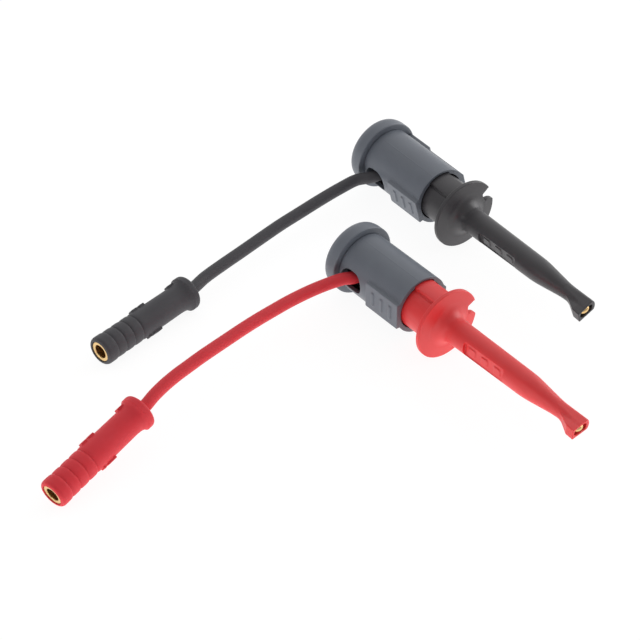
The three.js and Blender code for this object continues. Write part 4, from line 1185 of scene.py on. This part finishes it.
wire = add(SPRING, "GeometryNodeCurvePrimitiveCircle", {"Radius": given["Wire"]}, Resolution=14)
coils = add(
    SPRING,
    "GeometryNodeCurveToMesh",
    {"Curve": wound.outputs[0], "Profile Curve": wire.outputs["Curve"]},
)
coils.inputs["Fill Caps"].default_value = True
laid = add(SPRING, "GeometryNodeTransform", {"Geometry": coils.outputs[0]})
laid.inputs["Rotation"].default_value = (0, math.pi / 2, 0)
end_tree(SPRING, given, laid.outputs[0])

# %% Return spring
SPRING_WIRE, SPRING_COIL, SPRING_TURNS = 0.35, 3.3, 12.0
SPRING_REAR = SEAT_FRONT + FIT
SPRING_FRONT = WASHER_REAR - FIT

for colour in COLOURS:
    line_length = SPRING_FRONT - SPRING_REAR - 2 * SPRING_WIRE
    shape = grow(
        SPRING, f"{colour}_spring", POINT, SPRING_STEEL,
        Turns=SPRING_TURNS, Coil=SPRING_COIL, Wire=SPRING_WIRE, Length=line_length,
    )
    shape.transform(Matrix.Translation((SPRING_REAR + SPRING_WIRE, 0, 0)))
    piece = finish_piece(
        shape, f"{colour}_spring", CLIPS[colour], SPRING_STEEL, f"{colour}_return_spring", 60
    )
    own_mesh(piece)

# %% [markdown]
# ## Floor and light
# The clips lie on a white light table in a tent of soft panels.  Most light comes up from the
# table and in from the low panels behind and to the left, little from above, so round things
# come out light along both edges and deeper in the middle.  The table shows white to the camera
# and to gloss, and keeps a trace of the object's shadow.

# %% Floor
FLOOR_HALF = 6.0
GLOW_ON_OBJECT, GLOW_TO_CAMERA = 1.1, 0.4
WHITE_SHARE = 0.86


def floor_material():
    """A matt white that glows, and shows mostly as plain white."""
    material = bpy.data.materials.new("white_table")
    material.use_nodes = True
    tree = material.node_tree
    tree.nodes.clear()
    seen = add(tree, "ShaderNodeLightPath")
    matt = add(tree, "ShaderNodeBsdfDiffuse")
    matt.inputs["Color"].default_value = srgb("#f4f4f4")
    level = add(tree, "ShaderNodeMapRange", {"Value": seen.outputs["Is Camera Ray"]})
    level.inputs["To Min"].default_value = GLOW_ON_OBJECT
    level.inputs["To Max"].default_value = GLOW_TO_CAMERA
    glow = add(tree, "ShaderNodeEmission", {"Strength": level.outputs[0]})
    lit = add(tree, "ShaderNodeAddShader", {0: matt.outputs[0], 1: glow.outputs[0]})
    bright = add(tree, "ShaderNodeEmission", Strength=1.0)
    shown = add(
        tree,
        "ShaderNodeMath",
        {0: seen.outputs["Is Camera Ray"], 1: seen.outputs["Is Glossy Ray"]},
        operation="MAXIMUM",
    )
    share = add(tree, "ShaderNodeMath", {0: shown.outputs[0]}, operation="MULTIPLY")
    share.inputs[1].default_value = WHITE_SHARE
    mix = add(
        tree, "ShaderNodeMixShader", {0: share.outputs[0], 1: lit.outputs[0], 2: bright.outputs[0]}
    )
    add(tree, "ShaderNodeOutputMaterial", {"Surface": mix.outputs[0]})
    return material


FLOOR_CORNERS = [(x * FLOOR_HALF, y * FLOOR_HALF, 0) for x, y in ((-1, -1), (1, -1), (1, 1), (-1, 1))]
floor = bpy.data.objects.new("floor", mesh_from("floor", FLOOR_CORNERS, [(0, 1, 2, 3)]))
floor.data.materials.append(floor_material())
bpy.context.scene.collection.objects.link(floor)
print("floor", 2 * FLOOR_HALF, "m wide")


# %% Lamps
LAMPS = {
    # name: place, power in watts, size
    "back": ((0.15, 0.9, 0.3), 7.0, 0.9),
    "front_left": ((-0.1, -0.95, 0.3), 1.3, 0.5),
}
LAMP_TARGET = Vector((0, -0.03, 0.01))

for name, (place, power, size) in LAMPS.items():
    data = bpy.data.lights.new(name, "AREA")
    data.energy, data.size = power, size
    light = bpy.data.objects.new(name, data)
    light.location = place
    light.rotation_mode = "QUATERNION"
    light.rotation_quaternion = (LAMP_TARGET - Vector(place)).to_track_quat("-Z", "Y")
    bpy.context.scene.collection.objects.link(light)
print("lamps", list(LAMPS))

# %% Tent
PANELS = [
    # azimuth and elevation in degrees, strength
    (0, 15, 0.40), (60, 15, 0.15), (120, 15, 0.65), (180, 15, 1.05), (240, 15, 0.25),
    (300, 15, 0.27), (45, 52, 0.22), (135, 52, 0.80), (225, 52, 0.16), (315, 52, 0.26), (0, 90, 0.33),
]
PANEL_SHARPNESS = 5.0
world = bpy.data.worlds.new("tent")
bpy.context.scene.world = world
world.use_nodes = True
tent = world.node_tree
tent.nodes.clear()
way = add(tent, "ShaderNodeTexCoord").outputs["Generated"]
total = add(tent, "ShaderNodeValue").outputs[0]
total.default_value = 0
for azimuth, elevation, strength in PANELS:
    a, e = math.radians(azimuth), math.radians(elevation)
    toward = add(tent, "ShaderNodeVectorMath", {0: way}, operation="DOT_PRODUCT")
    toward.inputs[1].default_value = (math.cos(a) * math.cos(e), math.sin(a) * math.cos(e), math.sin(e))
    fall = add(tent, "ShaderNodeMath", {0: toward.outputs["Value"]}, operation="MULTIPLY_ADD")
    fall.inputs[1].default_value, fall.inputs[2].default_value = PANEL_SHARPNESS, -PANEL_SHARPNESS
    soft = add(tent, "ShaderNodeMath", {0: fall.outputs[0]}, operation="EXPONENT")
    sum_up = add(tent, "ShaderNodeMath", {0: soft.outputs[0], 2: total}, operation="MULTIPLY_ADD")
    sum_up.inputs[1].default_value = strength
    total = sum_up.outputs[0]
ray = add(tent, "ShaderNodeLightPath")
walls = add(tent, "ShaderNodeBackground", {"Strength": total})
white = add(tent, "ShaderNodeBackground", Strength=1.0)
sky = add(
    tent,
    "ShaderNodeMixShader",
    {0: ray.outputs["Is Camera Ray"], 1: walls.outputs[0], 2: white.outputs[0]},
)
add(tent, "ShaderNodeOutputWorld", {"Surface": sky.outputs[0]})
bpy.context.scene.view_settings.view_transform = "Standard"
print("tent of", len(PANELS), "panels")

# %% [markdown]
# ## Finishes of the CAD nodes
# The CAD nodes get the same finishes as the pieces.

# %% Finishes of the nodes
NODE_FINISH = {
    "grey_plastic": ABS_GREY, "red_plastic": NYLON["red"], "black_plastic": NYLON["black"],
    "red_silicone": SILICONE["red"], "black_silicone": SILICONE["black"], "gilt_wire": GOLD_PLATE,
    "gilt_contact": GOLD_PLATE, "brass": BRASS, "spring_steel": SPRING_STEEL, "copper_strands": COPPER,
}
for name, node in frame["nodes"].items():
    node.data.materials.clear()
    node.data.materials.append(NODE_FINISH[SLOT_OF[name]])
